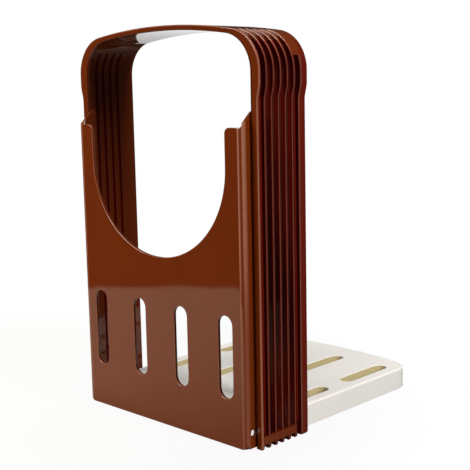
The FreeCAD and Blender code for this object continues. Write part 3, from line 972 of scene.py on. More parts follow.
    def _points(self, course: Course) -> np.ndarray:
        """Points of the surface.

        A point is its line's point plus its inset along the inward direction. The feet are
        then drawn in to a rounded end, and the fins narrow there along a quarter circle.

        Args:
            course: Lines and hollows.

        Returns:
            Array (rows, columns, 3).
        """
        c, inward = course.columns, course.inward
        radius = np.minimum(self.fin_edge, self.edge_share * course.depth)
        proud = np.linalg.norm(course.rim - course.wall, axis=-1)
        lip_radius = np.minimum(self.lip_edge, self.edge_share * proud)
        shift = (c.inset + c.recess * course.depth + c.fin_edge * radius
                 + c.groove * course.channel + c.lip_edge * lip_radius)
        flat = np.choose(c.line[:, None], [course.outside, course.wall, course.rim])
        flat = flat + inward * shift[..., None]
        across = c.y + c.y_fin * radius + c.y_lip * lip_radius

        right_leg = course.u > 4.5
        low = np.clip(1.0 - flat[..., 1] / self.foot_round, 0.0, 1.0)
        tip = (c.line == Line.OUTSIDE.value) & (c.recess == 0)
        tuck = self.foot_round * (1.0 - np.sqrt(1.0 - low ** 2)) * right_leg * tip
        flat = flat + inward * tuck[..., None]
        foot = np.clip(1.0 - flat[..., 1] / self.foot_edge, 0.0, 1.0)
        pull = self.foot_edge * (1.0 - np.sqrt(1.0 - foot ** 2)) * right_leg
        rear, back = c.fin >= self.gaps, self.gaps * self.pitch
        middle = np.where(rear, (back + self.depth) / 2, c.fin * self.pitch + self.fin / 2)
        half = np.where(rear, (self.depth - back) / 2, self.fin / 2)
        across = middle + (across - middle) * (1.0 - np.minimum(pull, 0.8 * half) / half)
        return lift(flat, across, 1)

    def _marks(self, course: Course) -> tuple[np.ndarray, np.ndarray, np.ndarray]:
        """Painted shade and painted highlight of every point, and where the shaded brown is used.

        Args:
            course: Lines and hollows.

        Returns:
            Painted shade, painted highlight and shaded brown for every row and column.
        """
        c, u, tone = course.columns, course.u, self.tone
        skin = c.line == Line.OUTSIDE.value
        comb = skin & (c.gap >= 0)
        band = skin & (c.gap < 0)
        front = band & (c.fin == 0)
        tipped = skin & (c.recess == 0)
        # Painted shade: the fin tips, gap sides, front band and grooves darken in colour.
        flank = np.where(tipped & (c.fin_edge < 0.9), tone.tip, 1.0)
        face = c.inset < tone.rim_span[0]
        flank = np.where(front, tone.front * face, flank)
        gloom = tone.shine_left + (1.0 - tone.shine_left) * smooth(
            (u - self.stop + tone.gloom_early) / tone.gloom_run)
        painted_shade = flank * gloom * np.where(band, 1.0, np.clip(course.depth / tone.sunk_mm, 0.0, 1.0))
        beside = ((c.line == Line.WALL.value) & (np.abs(c.place) < tone.painted_groove_place)
                  & self._is_slot(c.gap))
        painted_groove_shade = tone.painted_groove_shade * beside * (course.channel > 0.1) * (u < 2.0)
        hollow = np.clip(c.groove * course.channel / -tone.groove_mm, 0.0, 1.0)
        painted_shade = np.where(skin, painted_shade, np.maximum(painted_groove_shade, hollow))

        # Painted highlight along each fin's near edge and along the front and rear rims.
        top, slope, centre = tone.crest
        crest = np.clip(top - slope * np.abs(c.fin_edge - centre), 0.0, 1.0)
        lower = smooth((u - self.stop + tone.fade_early) / tone.fade_run)
        painted_shine = (crest * (comb & tipped & (c.place > 0)) * (1.0 - tone.fade * lower)
                  * np.clip(course.depth / tone.crest_mm, 0.0, 1.0))
        on_rim = (c.inset > tone.rim_span[0]) & (c.inset < tone.rim_span[1])
        painted_shine = np.maximum(painted_shine, on_rim * np.where(c.fin == 0, tone.front_rim, tone.rear_rim))

        # Cells that take the brown with painted shade.
        flanks = comb & ((c.fin < self.gaps) | (c.fin_edge > tone.tag_edge) | (c.recess > 0))
        dark = np.where(flanks | (front & face),
                        (gloom > tone.tag_gloom) & (course.depth > tone.tag_mm),
                        ~skin & (painted_shade > tone.tag_sunk))
        return painted_shade, painted_shine, dark

    def _openings(self, shell: Shell, numbers: np.ndarray, rows: np.ndarray, outer: np.ndarray,
                  inner: np.ndarray) -> np.ndarray:
        """Cuts the knife slots and the openings between the feet, and adds their walls.

        Args:
            shell: Shell to add to.
            numbers: Point numbers (rows, columns).
            rows: Parameters of the rings.
            outer: Columns across each gap, outside.
            inner: The same inside.

        Returns:
            Cells that hold material, in rows and columns.
        """
        keep = np.ones((len(rows) - 1, numbers.shape[1]), bool)
        floor = len(rows) - 1
        slot_end, slot_low, bar_low = (
            int(np.argmin(np.abs(rows - place))) for place in
            (self.stop, 5.0 - self.slot_low / self.leg, 5.0 - self.bar_low / self.leg))
        for g, (out, back) in enumerate(zip(outer, inner)):
            spans = [(slot_end, slot_low)] if self._is_slot(g) else []
            spans.append((slot_low if g == self.gaps - 1 else bar_low, floor))
            for first, last in spans:
                keep[first:last, out[0]:out[-1]] = False
                keep[first:last, back[0]:back[-1]] = False
                for pair in ([out[0], back[-1]], [out[-1], back[0]]):
                    # The slot walls take the brown with painted shade.
                    shell.weave(numbers[first:last + 1][:, pair], tag=1)
                for end in {first, last} - {floor}:
                    shell.weave(np.stack([numbers[end, out], numbers[end, back[::-1]]]))
        return keep

    def build(self, materials: list[bpy.types.Material]) -> bpy.types.Object:
        """Builds the arch as one closed surface: the section carried along the arch.

        Args:
            materials: Brown plastic, and its copy with painted shade for the gaps and fin tips.

        Returns:
            The piece.
        """
        columns, outer, inner = self._section()
        rows = self._stations()
        course = self._course(columns, rows)
        painted_shade, painted_shine, dark = self._marks(course)
        shell = Shell("comb_arch")
        numbers = shell.add(self._points(course), painted_shade, painted_shine)
        keep = self._openings(shell, numbers, rows, outer, inner)
        # Cells in the gaps and on the fin tips take the brown with painted shade.
        ring, dark = (np.concatenate([part, part[:, :1]], axis=1) for part in (numbers, dark))
        shell.weave(ring, keep, (dark[:-1, :-1] & dark[1:, 1:]).astype(int))
        shell.cap(numbers[0])
        starts = [0, *outer[:, -1]]
        stops = [*outer[:, 0], inner[-1, 0]]
        members = [np.arange(a, b + 1) for a, b in zip(starts, stops)]
        backs = [np.arange(inner[0, -1], len(columns)),
                 *(np.arange(a, b + 1) for a, b in zip(inner[1:, -1], inner[:-1, 0])), []]
        for member, back in zip(members, backs):
            shell.cap(numbers[-1, np.concatenate([member, back]).astype(int)])
        return shell.build(materials)


# ------------------------------------------------------------------------------------------
# Front plate
# ------------------------------------------------------------------------------------------
class Block:
    """Flat field between a round-ended opening and a four-sided border."""

    def __init__(self, x: float, ends: tuple[float, float], radius: float, across: int,
                 sides: int) -> None:
        """Sets the opening.

        Args:
            x: Middle of the opening.
            ends: Lower and upper end of the opening.
            radius: Radius of its ends.
            across: Segments along the lower and upper border.
            sides: Segments along the side borders, at least six.
        """
        low, high = ends[0] + radius, ends[1] - radius
        bend = 3
        arc = np.linspace(0.0, math.pi / 4, bend + 1)
        run = np.linspace(0.0, 1.0, sides - 2 * bend + 1)
        end = np.linspace(-0.75 * math.pi, -0.25 * math.pi, across + 1)[:-1]
        side = np.concatenate([-arc[::-1], np.zeros(len(run) - 2), arc])
        level = np.concatenate([np.zeros(bend + 1), run[1:-1], np.ones(bend + 1)])
        share = np.concatenate([np.zeros(across), level[:-1], np.ones(across), 1.0 - level])
        self.radius = radius
        self.centre = spread(x, low + (high - low) * share)
        self.out = unit(np.concatenate([end, side[:-1], end + math.pi, side + math.pi]))

    def edge(self, away: float) -> np.ndarray:
        """Closed line at that distance from the opening's wall, which is at zero."""
        return self.centre + self.out * (self.radius + away)

    def field(self, border: np.ndarray, away: float) -> np.ndarray:
        """Blend from a closed border to the line at that distance from the opening's wall."""
        return blend(border, self.edge(away), 3)


@dataclass
class FrontPlate:
    """The plate with its U-shaped cut, four windows, flanges and hooks."""

    front: float = -8.05
    thick: float = 2.2
    low: float = 1.0
    ear_top: float = 190.0
    flange_top: float = 199.0
    half: float = 73.3
    flange_in: float = 71.3
    crease: float = 70.6
    fold: float = 0.3
    bevel_x: float = 72.1
    bevel_y: float = -7.73
    lip_y: float = 2.0
    slope_gap: float = 0.2         # how far behind the face the slanted top starts
    hook_half: float = 74.8
    hook_front: float = 2.4
    hook_back: float = 4.4
    cut_half: float = 60.4
    cut_z: float = 167.0
    cut_deep: float = 58.1
    ear_round: float = 3.5
    window_ends: tuple[float, float] = (29.8, 80.2)
    window_width: float = 11.4
    window_x: float = 57.8
    edge: float = 0.55
    hole_y: float = -1.5
    hole_z: float = 10.5
    hole_radius: float = 2.15
    hole_edge: float = 0.25
    hole_field: float = 3.0        # half the width of the flat field round the hole
    across: int = 10
    sides: int = 16
    rise: int = 24
    lines: tuple[float, ...] = (1.55, 7.0, 8.75, 10.5, 12.25, 14.0, 22.0)
    corner_rise: float = 4.2
    right_run: float = 3.5         # how far behind the face the lower corner's rise ends
    left_run: float = 16.0
    block_low: float = 22.0
    block_high: float = 88.0
    # Inside of the corner, from the crease and the rear face.
    inside_turn: tuple[tuple[float, float], ...] = (
        (0.0, 0.0), (0.15, 0.0), (0.3, 0.0), (0.48, 0.0), (0.6, 0.03), (0.67, 0.12), (0.7, 0.3))
    # Painted highlight across the rim, and across the corner at full height and low down.
    rim_shine: tuple[float, ...] = (0.0, 0.25, 0.6, 0.25, 0.0, 0.0, 0.0, 0.0, 0.0, 0.0)
    corner_shine: tuple[float, ...] = (0.6, 1.0, 0.05, 0.0, 0.06, 0.35, 0.85, 0.55)
    shine_low: float = 0.38
    shine_span: tuple[float, float] = (70.0, 130.0)
    shade_low: float = 0.8         # painted shade of the rounded lower rim

    @property
    def back(self) -> float:
        """Y of the plate's rear face."""
        return self.front + self.thick

    def _borders(self) -> np.ndarray:
        """X of the borders between the window fields."""
        middle = self.window_x * 2.0 / 3.0
        return np.array([-self.crease, -middle, 0.0, middle, self.crease])

    def _across(self) -> np.ndarray:
        """X of every grid line across the plate."""
        sides = self._borders()
        return joined(*(np.linspace(a, b, self.across + 1) for a, b in zip(sides, sides[1:])))

    def _windows(self) -> list[Block]:
        """The four windows."""
        return [Block(share * self.window_x, self.window_ends, self.window_width / 2,
                      self.across, self.sides) for share in QUARTERS]

    def _rim(self, shell: Shell, line: np.ndarray, normal: np.ndarray) -> None:
        """Carries the rounded rim along a line, from the front to the back.

        Args:
            shell: Shell to add to.
            line: Points (n, 2) on the wall of the opening or edge.
            normal: Unit vectors (n, 2) from the wall into the material.
        """
        to_go, gone = quarter(4)
        away = self.edge * np.concatenate([to_go, to_go[::-1]])
        depth = np.concatenate([self.front + self.edge * gone, self.back - self.edge * gone[::-1]])
        flat = line[:, None] + normal[:, None] * away[:, None]
        # Painted shade on the lower rim, painted highlight across the other rims.
        shade = self._underside(flat[..., 1])
        shell.weave(shell.add(lift(flat, depth, 1), shade, (shade == 0) * self.rim_shine))

    def _cut_line(self) -> tuple[np.ndarray, np.ndarray]:
        """Upper edge of the plate from the left crease to the right one.

        Ear top, rounded corner, straight side, half an ellipse, and the same back up.

        Returns:
            Points and unit vectors into the material.
        """
        r, a, b = self.ear_round, self.cut_half, self.cut_deep
        ear, bend, side = 6, 6, 4
        swing, knee = self.rise - ear - bend - side, 1.16 * math.pi
        turn = unit(np.linspace(math.pi / 2, 0.0, bend + 1))
        oval = unit(joined(np.linspace(math.pi, knee, swing + 1),
                           np.linspace(knee, 1.5 * math.pi, 2 * self.across + 1)))
        steep = oval / (a, b)
        steep /= np.linalg.norm(steep, axis=-1, keepdims=True)
        line = joined(straight((-self.crease, self.ear_top), (-a - r, self.ear_top), ear),
                      r * turn + (-a - r, self.ear_top - r),
                      straight((-a, self.ear_top - r), (-a, self.cut_z), side),
                      oval * (a, b) + (0.0, self.cut_z))
        normal = np.concatenate([np.tile((0.0, -1.0), (ear, 1)), -turn,
                                 np.tile((-1.0, 0.0), (side - 1, 1)), steep])
        return doubled(line), doubled(normal)

    def _crease_rows(self) -> np.ndarray:
        """Z of the grid rows along the crease above the window fields."""
        return np.linspace(self.block_high, self.ear_top - self.edge, self.rise + 1)

    def _face(self, shell: Shell, depth: float) -> None:
        """Adds one flat side of the plate.

        Args:
            shell: Shell to add to.
            depth: Y of that side.
        """
        lines, sides = self._across(), self._borders()
        shell.grid(lift(spread(lines, np.array(self.lines)[:, None]), depth, 1))
        for a, b, window in zip(sides, sides[1:], self._windows()):
            border = boxed((a, self.block_low), (b, self.block_high), self.across, self.sides)
            shell.grid(lift(window.field(border, self.edge), depth, 1))
        line, normal = self._cut_line()
        left = spread(-self.crease, self._crease_rows()[::-1])
        bottom = spread(lines[:len(lines) // 2 + 1], self.block_high)
        border = doubled(joined(left, bottom))
        shell.grid(lift(blend(border, line + normal * self.edge, 6), depth, 1))

    def _side_section(self) -> tuple[np.ndarray, np.ndarray]:
        """Right-hand section from the crease round the corner to the hook.

        Returns:
            Outer and inner points (X, Y), matched one to one.
        """
        r = self.half - self.bevel_x
        slope = (self.bevel_y - self.front) / (self.bevel_x - self.crease)
        hole = self.hole_y + self.hole_field * np.linspace(-1.0, 1.0, 5)
        hook = self.hook_front + (self.hook_back - self.hook_front) * np.array([0.0, 0.3, 0.7, 1.0])
        outer = np.concatenate([
            [(self.crease, self.front), (self.crease + self.fold, self.front + slope * self.fold)],
            r * unit(np.linspace(-math.pi / 2, 0.0, 5)) + (self.bevel_x, self.bevel_y + r),
            spread(self.half, hole),
            [(self.half, self.hook_front), (self.hook_half, self.hook_front),
             (self.hook_half, self.hook_back), (self.flange_in, self.hook_back)]])
        inner = np.concatenate([np.array(self.inside_turn) + (self.crease, self.back),
                                spread(self.flange_in, np.concatenate([hole, hook]))])
        return outer, inner

    def _corner_painted_highlight(self, count: int, z: np.ndarray) -> np.ndarray:
        """Painted highlight of the outer section: a line beside the crease, then the broad corner.

        Args:
            count: Number of columns of the section.
            z: Heights of the rows; the painted highlight is strongest in the upper half.

        Returns:
            Marks (rows, columns).
        """
        shine = np.pad(self.corner_shine, (0, count - len(self.corner_shine)))
        start, stop = self.shine_span
        share = smooth((z[:, None] - start) / (stop - start))
        return shine * (self.shine_low + (1.0 - self.shine_low) * share)

    def _underside(self, z: np.ndarray) -> np.ndarray:
        """Painted shade mark of the rounded lower rim at the given heights."""
        share = (self.low + 0.8 * self.edge - z) / (0.5 * self.edge)
        return self.shade_low * np.clip(share, 0.0, 1.0)

    @staticmethod
    def _inwards(line: np.ndarray, other: np.ndarray) -> np.ndarray:
        """Unit vectors in the section's plane that point from a line into the wall.

        Square to the line's local direction, on the side where the other line lies, and
        straight along Y at the crease.

        Args:
            line: Points (n, 2).
            other: Matching points of the opposite side.

        Returns:
            Unit vectors (n, 2).
        """
        way = np.gradient(line, axis=0)
        normal = spread(-way[:, 1], way[:, 0])
        normal /= np.maximum(np.linalg.norm(normal, axis=-1, keepdims=True), 1e-9)
        side = np.sign(np.sum(normal * (other - line), axis=-1, keepdims=True))
        normal *= np.where(side == 0, 1.0, side)
        normal[0] = (0.0, np.sign(other[0, 1] - line[0, 1]))
        normal[-1] = (1.0, -1.0)
        return normal

    def _ear(self, line: np.ndarray) -> np.ndarray:
        """Upper end of each column: level at the face, then slanting up to the lip.

        Args:
            line: Points (n, 2) of the section.

        Returns:
            Z of each column's upper end.
        """
        start = self.front + self.slope_gap
        share = np.clip((line[:, 1] - start) / (self.lip_y - start), 0.0, 1.0)
        return self.ear_top + (self.flange_top - self.ear_top) * share

    def _side(self, shell: Shell, hand: float) -> None:
        """Adds the corner, flange and hook of one side.

        The section is carried upwards; above the window fields the rows spread towards a
        slanted upper edge, both ends are rounded by drawing the section in, and the lower end
        rises along a quarter ellipse towards the side.

        Args:
            shell: Shell to add to.
            hand: 1 for the right side, -1 for the left.
        """
        outer, inner = self._side_section()
        to_go, gone = quarter(4)
        turn = len(self.inside_turn)
        low_rows = np.concatenate([
            self.low + self.edge * to_go[:0:-1], self.lines,
            np.linspace(self.block_low, self.block_high, self.sides + 1)[1:]])
        flat_rows = len(low_rows) - len(gone) + 1 + self.rise
        draw = self.edge * np.concatenate([gone[:0:-1], np.zeros(flat_rows), gone[1:]])
        share = np.linspace(0.0, 1.0, self.rise + 1)[1:, None]
        sheets = []
        for line, other in ((outer, inner), (inner, outer)):
            ends = self._ear(line)
            if line is inner:
                ends[:turn] = self.ear_top
            upper = self.block_high + share * (ends - self.edge - self.block_high)
            z = np.concatenate([np.tile(low_rows[:, None], len(line)), upper,
                                ends - self.edge * to_go[1:, None]])
            out = np.clip((line[:, 0] - self.crease) / (self.half - self.crease), 0.0, 1.0)
            run = self.right_run if hand > 0 else self.left_run
            near = 1.0 - smooth((line[:, 1] - self.front) / run)
            z[:len(to_go)] += self.corner_rise * (1.0 - np.sqrt(1.0 - out ** 2)) * near
            flat = line + self._inwards(line, other) * draw[:, None, None]
            # Painted highlight on the outer corner, painted shade on the lower rim.
            painted_highlight = self._corner_painted_highlight(len(line), z[:, 0]) * float(line is outer)
            points = spread(hand * flat[..., 0], flat[..., 1], z)
            sheets.append(shell.add(points, self._underside(z), painted_highlight))
        keep = np.ones((len(sheets[0]) - 1, len(outer) - 1), bool)
        keep[len(to_go):len(to_go) + 4, turn:turn + 4] = False
        for numbers in sheets:
            shell.weave(numbers, keep)
        for end in (0, -1):
            shell.weave(np.stack([sheets[0][end], sheets[1][end]]))
        self._hole(shell, hand)

    def _hole(self, shell: Shell, hand: float) -> None:
        """Adds the hinge hole: two flat fields round a circle, and the wall between them.

        Args:
            shell: Shell to add to.
            hand: 1 for the right side, -1 for the left.
        """
        border = boxed((self.hole_y - self.hole_field, self.lines[1]),
                       (self.hole_y + self.hole_field, self.lines[5]), 4, 4)
        around = unit(np.linspace(-0.75 * math.pi, 1.25 * math.pi, len(border)))
        to_go, gone = quarter(3)
        circles = [around * (self.hole_radius + self.hole_edge * far) + (self.hole_y, self.hole_z)
                   for far in (*to_go, 0.0)]
        flat = np.stack([border, *circles, border])
        level = np.array([self.half, *(self.half - self.hole_edge * gone), self.flange_in,
                          self.flange_in])
        shell.grid(spread(hand * level[:, None], flat[..., 0], flat[..., 1]))

    def build(self, materials: list[bpy.types.Material]) -> bpy.types.Object:
        """Builds the plate: two flat sides, rounded rims and the two flanged sides.

        Args:
            materials: Brown plastic.

        Returns:
            The piece.
        """
        shell = Shell("front_panel")
        for depth in (self.front, self.back):
            self._face(shell, depth)
        self._rim(shell, *self._cut_line())
        bottom = spread(self._across(), self.low)
        self._rim(shell, bottom, np.tile((0.0, 1.0), (len(bottom), 1)))
        for window in self._windows():
            self._rim(shell, window.edge(0.0), window.out)
        for hand in (-1.0, 1.0):
            self._side(shell, hand)
        return shell.build(materials)


# ------------------------------------------------------------------------------------------
# Tray
# ------------------------------------------------------------------------------------------
@dataclass
class LoafTray:
    """The tray that the loaf lies on."""

    half: float = 71.0
    reach: float = 170.7
    bow: float = 350.0
    corner: float = 16.0
    high: float = 14.4
    wall: float = 2.0
    deck: float = 2.5
    round_top: float = 1.3
    round_low: float = 0.3
    pivot_y: float = -1.5
    nose: float = 3.9
    chin_slope: float = 0.6        # rise of the lower edge ahead of the hinge
    slot_x: float = 57.8
    slot_width: float = 10.0
    slot_edge: float = 0.45
    rim: float = 1.2
    rim_deep: float = 6.2
    row_length: float = 46.8
    row_space: float = 18.1
    row_margin: float = 20.4
    front_line: float = 12.0
    near_line: float = 28.0
    middle_line: float = 94.45
    bore: float = 2.1
    boss_gap: float = 0.3
    boss_long: float = 4.0
    boss_floor: float = 0.5
    boss_mouth: float = 0.2
    across: int = 8
    sides: int = 14
    corner_side: int = 5           # corner segments on the side's run and on the far end's
    corner_end: int = 3
    skin: int = 9                  # columns of the side profile from the deck to the sole

    def _middle(self) -> float:
        """X of the border between an inner and an outer slot field."""
        return self.slot_x * 2.0 / 3.0

    def _outline(self) -> tuple[list[np.ndarray], list[np.ndarray]]:
        """Right half of the deck's flat edge, from the near line to the far middle.

        Straight side, corner arc and bowed end, in the four runs that border slot fields.

        Returns:
            Points of each run, and their unit vectors outwards.
        """
        half, bend, bow = (size - self.round_top for size in (self.half, self.corner, self.bow))
        low = self.reach - self.bow
        cx = half - bend
        cy = low + math.sqrt((bow - bend) ** 2 - cx ** 2)
        full, stop = math.atan2(cy - low, cx), math.acos(self._middle() / bow)
        straight_count = self.sides - self.corner_side
        turns = [unit(np.linspace(*span)) for span in (
            (0.0, full / 2, self.corner_side + 1), (full / 2, full, self.corner_end + 1),
            (full, stop, self.across - self.corner_end + 1), (stop, math.pi / 2, self.across + 1))]
        corner, end = np.array([cx, cy]), np.array([0.0, low])
        points = [
            straight((half, self.near_line), (half, self.middle_line), self.sides),
            joined(straight((half, self.middle_line), (half, cy), straight_count),
                   corner + bend * turns[0]),
            joined(corner + bend * turns[1], end + bow * turns[2]), end + bow * turns[3]]
        outs = [np.tile((1.0, 0.0), (self.sides + 1, 1)),
                joined(np.tile((1.0, 0.0), (straight_count + 1, 1)), turns[0]),
                joined(turns[1], turns[2]), turns[3]]
        return points, outs

    def _slots(self) -> list[Block]:
        """Lays out the eight slots.

        Returns:
            The slots, the near row first and each row from left to right.
        """
        end = self.reach - self.row_margin
        near = end - self.row_length - self.row_space
        return [Block(share * self.slot_x, (far - self.row_length, far), self.slot_width / 2,
                      self.across, self.sides) for far in (near, end) for share in QUARTERS]

    def _mirrored(self, border: np.ndarray) -> np.ndarray:
        """Mirror image that again starts at the near left corner, anticlockwise."""
        turn = np.roll((border * (-1.0, 1.0))[:0:-1], self.across, axis=0)
        return np.concatenate([turn, turn[:1]])

    def _field_borders(self, inset: float) -> list[np.ndarray]:
        """Closed borders of the eight slot fields, in the order of the slots.

        Args:
            inset: Distance of the field's outer edge from the tray's outside.

        Returns:
            Closed lines, each from the near left corner anticlockwise.
        """
        side, knee, end, bowed = (run + out * (self.round_top - inset)
                                  for run, out in zip(*self._outline()))
        middle, half = self._middle(), self.half - inset
        near, mid = self.near_line, self.middle_line
        count, rows = self.across, self.sides
        first = joined(straight((middle, near), (half, near), count), side,
                       straight((half, mid), (middle, mid), count),
                       straight((middle, mid), (middle, near), rows))
        second = boxed((0.0, near), (middle, mid), count, rows)
        third = joined(straight((middle, mid), (half, mid), count), knee, end,
                       straight(end[-1], (middle, mid), rows))
        fourth = joined(straight((0.0, mid), (middle, mid), count),
                        straight((middle, mid), end[-1], rows), bowed,
                        straight(bowed[-1], (0.0, mid), rows))
        return [self._mirrored(first), self._mirrored(second), second, first,
                self._mirrored(third), self._mirrored(fourth), fourth, third]

    def _profile(self) -> tuple[np.ndarray, np.ndarray, np.ndarray]:
        """Section of the side from the deck down, under the edge and up inside.

        Returns:
            Inset from the outside, which points hang from the deck's level and not from the
            lower one, and their heights over that level.
        """
        to_go, gone = quarter(5)
        small, down = quarter(2)
        inset = np.concatenate([self.round_top * to_go, self.round_low * down,
                                self.wall - self.round_low * small])
        height = np.concatenate([-self.round_top * gone, self.round_low * small,
                                 self.round_low * down])
        return inset, np.arange(len(inset)) < len(gone), height

    def _ends(self, y: np.ndarray) -> tuple[np.ndarray, np.ndarray]:
        """Upper and lower level of the tray along Y; the near end is round about the hinge.

        Args:
            y: Places along the tray.

        Returns:
            Z of the deck and of the lower edge.
        """
        ahead = np.clip(self.pivot_y - y, 0.0, self.nose)
        top = self.high - self.nose + np.sqrt(np.maximum(self.nose ** 2 - ahead ** 2, 0.0))
        return top, self.chin_slope * ahead

    def _border_lines(self, inset: float) -> np.ndarray:
        """X of the deck's grid lines, from edge to edge."""
        right = joined(np.linspace(0.0, self._middle(), self.across + 1),
                       np.linspace(self._middle(), self.half - inset, self.across + 1))
        return np.concatenate([-right[:0:-1], right])

    def _slot_fields(self, shell: Shell, under: float) -> None:
        """Adds the deck round the slots, above and below, and the slots' own walls.

        Args:
            shell: Shell to add to.
            under: Z of the deck's underside.
        """
        to_go, gone = quarter(3)
        foot = self.high - self.rim_deep
        for inset, level, away in ((self.round_top, self.high, self.slot_edge),
                                   (self.wall, under, self.rim)):
            for border, slot in zip(self._field_borders(inset), self._slots()):
                shell.grid(lift(slot.field(border, away), level, 2))
        for slot in self._slots():
            wall, back = slot.edge(0.0), slot.edge(self.rim)
            rings = [lift(slot.edge(self.slot_edge * far), self.high - self.slot_edge * down, 2)
                     for far, down in zip(to_go, gone)]
            shell.grid(np.stack(rings))
            shell.grid(np.stack([rings[-1], lift(wall, foot, 2)]), tag=1)
            shell.grid(np.stack([lift(wall, foot, 2), lift(back, foot, 2), lift(back, under, 2)]))

    def _skirt(self, shell: Shell, under: float) -> None:
        """Carries the side profile round the long sides and the far end.

        Args:
            shell: Shell to add to.
            under: Z of the deck's underside.
        """
        inset, hangs, height = self._profile()
        line, out = (doubled(joined(*runs)) for runs in self._outline())
        flat = line[:, None] + out[:, None] * (self.round_top - inset)[:, None]
        shell.grid(lift(flat, np.where(hangs, self.high, 0.0) + height, 2))
        inner = line + out * (self.round_top - self.wall)
        shell.grid(np.stack([lift(inner, self.round_low, 2), lift(inner, under, 2)]))

    def _near_end(self, shell: Shell, under: float) -> None:
        """Adds the part before the slots: sides, deck, rounded nose, chin and inner walls.

        Args:
            shell: Shell to add to.
            under: Z of the deck's underside.
        """
        inset, hangs, height = self._profile()
        turn = np.linspace(0.0, math.pi / 2, 8)[1:]
        rows = np.array([self.near_line, self.front_line, self.pivot_y,
                         *(self.pivot_y - self.nose * np.sin(turn))])
        top, low = self._ends(rows)
        edge = self.half - inset
        z = np.where(hangs, top[:, None], low[:, None]) + height
        for hand in (-1.0, 1.0):
            points = spread(hand * edge, rows[:, None], z)
            shell.grid(points[:, :self.skin])
            shell.grid(points[:3, self.skin - 1:])
            wall = spread(hand * (self.half - self.wall), rows[:3])
            shell.grid(np.stack([lift(wall, self.round_low, 2), lift(wall, under, 2)]))
        lines = self._border_lines(self.round_top)
        shell.grid(spread(lines, rows[:, None], top[:, None]))
        sole, rim = self.half - self.wall + self.round_low, self.half - self.round_low
        chin = spread(np.array([-rim, -sole, sole, rim]), rows[2:, None], low[2:, None])
        shell.grid(chin)

        flip = (-1.0, 1.0, 1.0)
        side = spread(edge, rows[-1], z[-1])[:self.skin]
        shell.cap(shell.add(np.concatenate([
            side[::-1] * flip, spread(lines, rows[-1], top[-1])[1:-1], side, chin[-1, 2:0:-1]])))
        # Inner side of the near wall, and the underside of the deck before the first slots.
        roof = spread(self._border_lines(self.wall), rows[:3, None], under)
        foot = spread(edge, rows[2], z[2])[self.skin:]
        shell.cap(shell.add(np.concatenate([roof[2], foot[::-1], foot * flip])))
        shell.grid(roof)

    def _bosses(self, shell: Shell) -> None:
        """Adds the two hollow bosses under the deck: a ring turned about the hinge axis.

        Args:
            shell: Shell to add to.
        """
        radius, start = self.nose - self.boss_gap, self.half - self.wall - self.boss_long
        end = start + self.boss_long + self.boss_mouth
        profile = np.array([
            [start + self.boss_floor, 0.0], [start + self.boss_floor, self.bore],
            [start, self.bore + self.boss_mouth], [start, radius - self.boss_gap],
            [start + self.boss_gap, radius], [end, radius], [end, 0.0]])
        for hand in (-1.0, 1.0):
            shell.grid(turned(profile * (hand, 1.0), (self.pivot_y, self.high - self.nose), 32))

    def build(self, materials: list[bpy.types.Material]) -> bpy.types.Object:
        """Builds the tray.

        Args:
            materials: White plastic, and the plastic inside the slots.

        Returns:
            The piece.
        """
        shell = Shell("loaf_tray")
        under = self.high - self.deck
        for part in (self._slot_fields, self._skirt, self._near_end):
            part(shell, under)
        self._bosses(shell)
        return shell.build(materials)


# ------------------------------------------------------------------------------------------
# Hinge pins
# ------------------------------------------------------------------------------------------
@dataclass
class HingePin:
    """Plain push pin with rounded ends."""

    hand: float
    inner: float = 65.5
    outer: float = 72.2
    radius: float = 2.1
    soft: float = 0.45
    axis: tuple[float, float] = (-1.5, 10.5)

    def build(self, name: str, materials: list[bpy.types.Material]) -> bpy.types.Object:
        """Turns the pin's profile about the hinge axis.

        Args:
            name: Name of the piece.
            materials: Pin plastic.

        Returns:
            The piece.
        """
        to_go, gone = quarter(5)
        rim = self.radius - self.soft * to_go
        profile = np.concatenate([
            [[self.inner, 0.0]], spread(self.inner + self.soft * gone, rim),
            spread(self.outer - self.soft * gone, rim)[::-1], [[self.outer, 0.0]]])
        shell = Shell(name)
        shell.grid(turned(profile * (self.hand, 1.0), self.axis, 40))
        return shell.build(materials)


# ------------------------------------------------------------------------------------------
# Stage, lights and camera
# ------------------------------------------------------------------------------------------
@dataclass(frozen=True)
class Lamp:
    """Rectangular soft light."""

    name: str
    place: tuple[float, float, float]
    aim: tuple[float, float, float]
    width: float
    tall: float
    power: float
    colour: Colour = (1.0, 1.0, 1.0)
    mirrored: bool = True

    def hang(self) -> None:
        """Puts the lamp in place, facing its aim."""
        data = bpy.data.lights.new(self.name, "AREA")
        data.shape = "RECTANGLE"
        data.size, data.size_y = self.width, self.tall
        data.energy = self.power
        data.color = self.colour
        lamp = placed(self.name, data)
        away = Vector(self.aim) - Vector(self.place)
        lamp.rotation_euler = away.to_track_quat("-Z", "Y").to_euler()
        lamp.location = self.place
        lamp.visible_glossy = self.mirrored


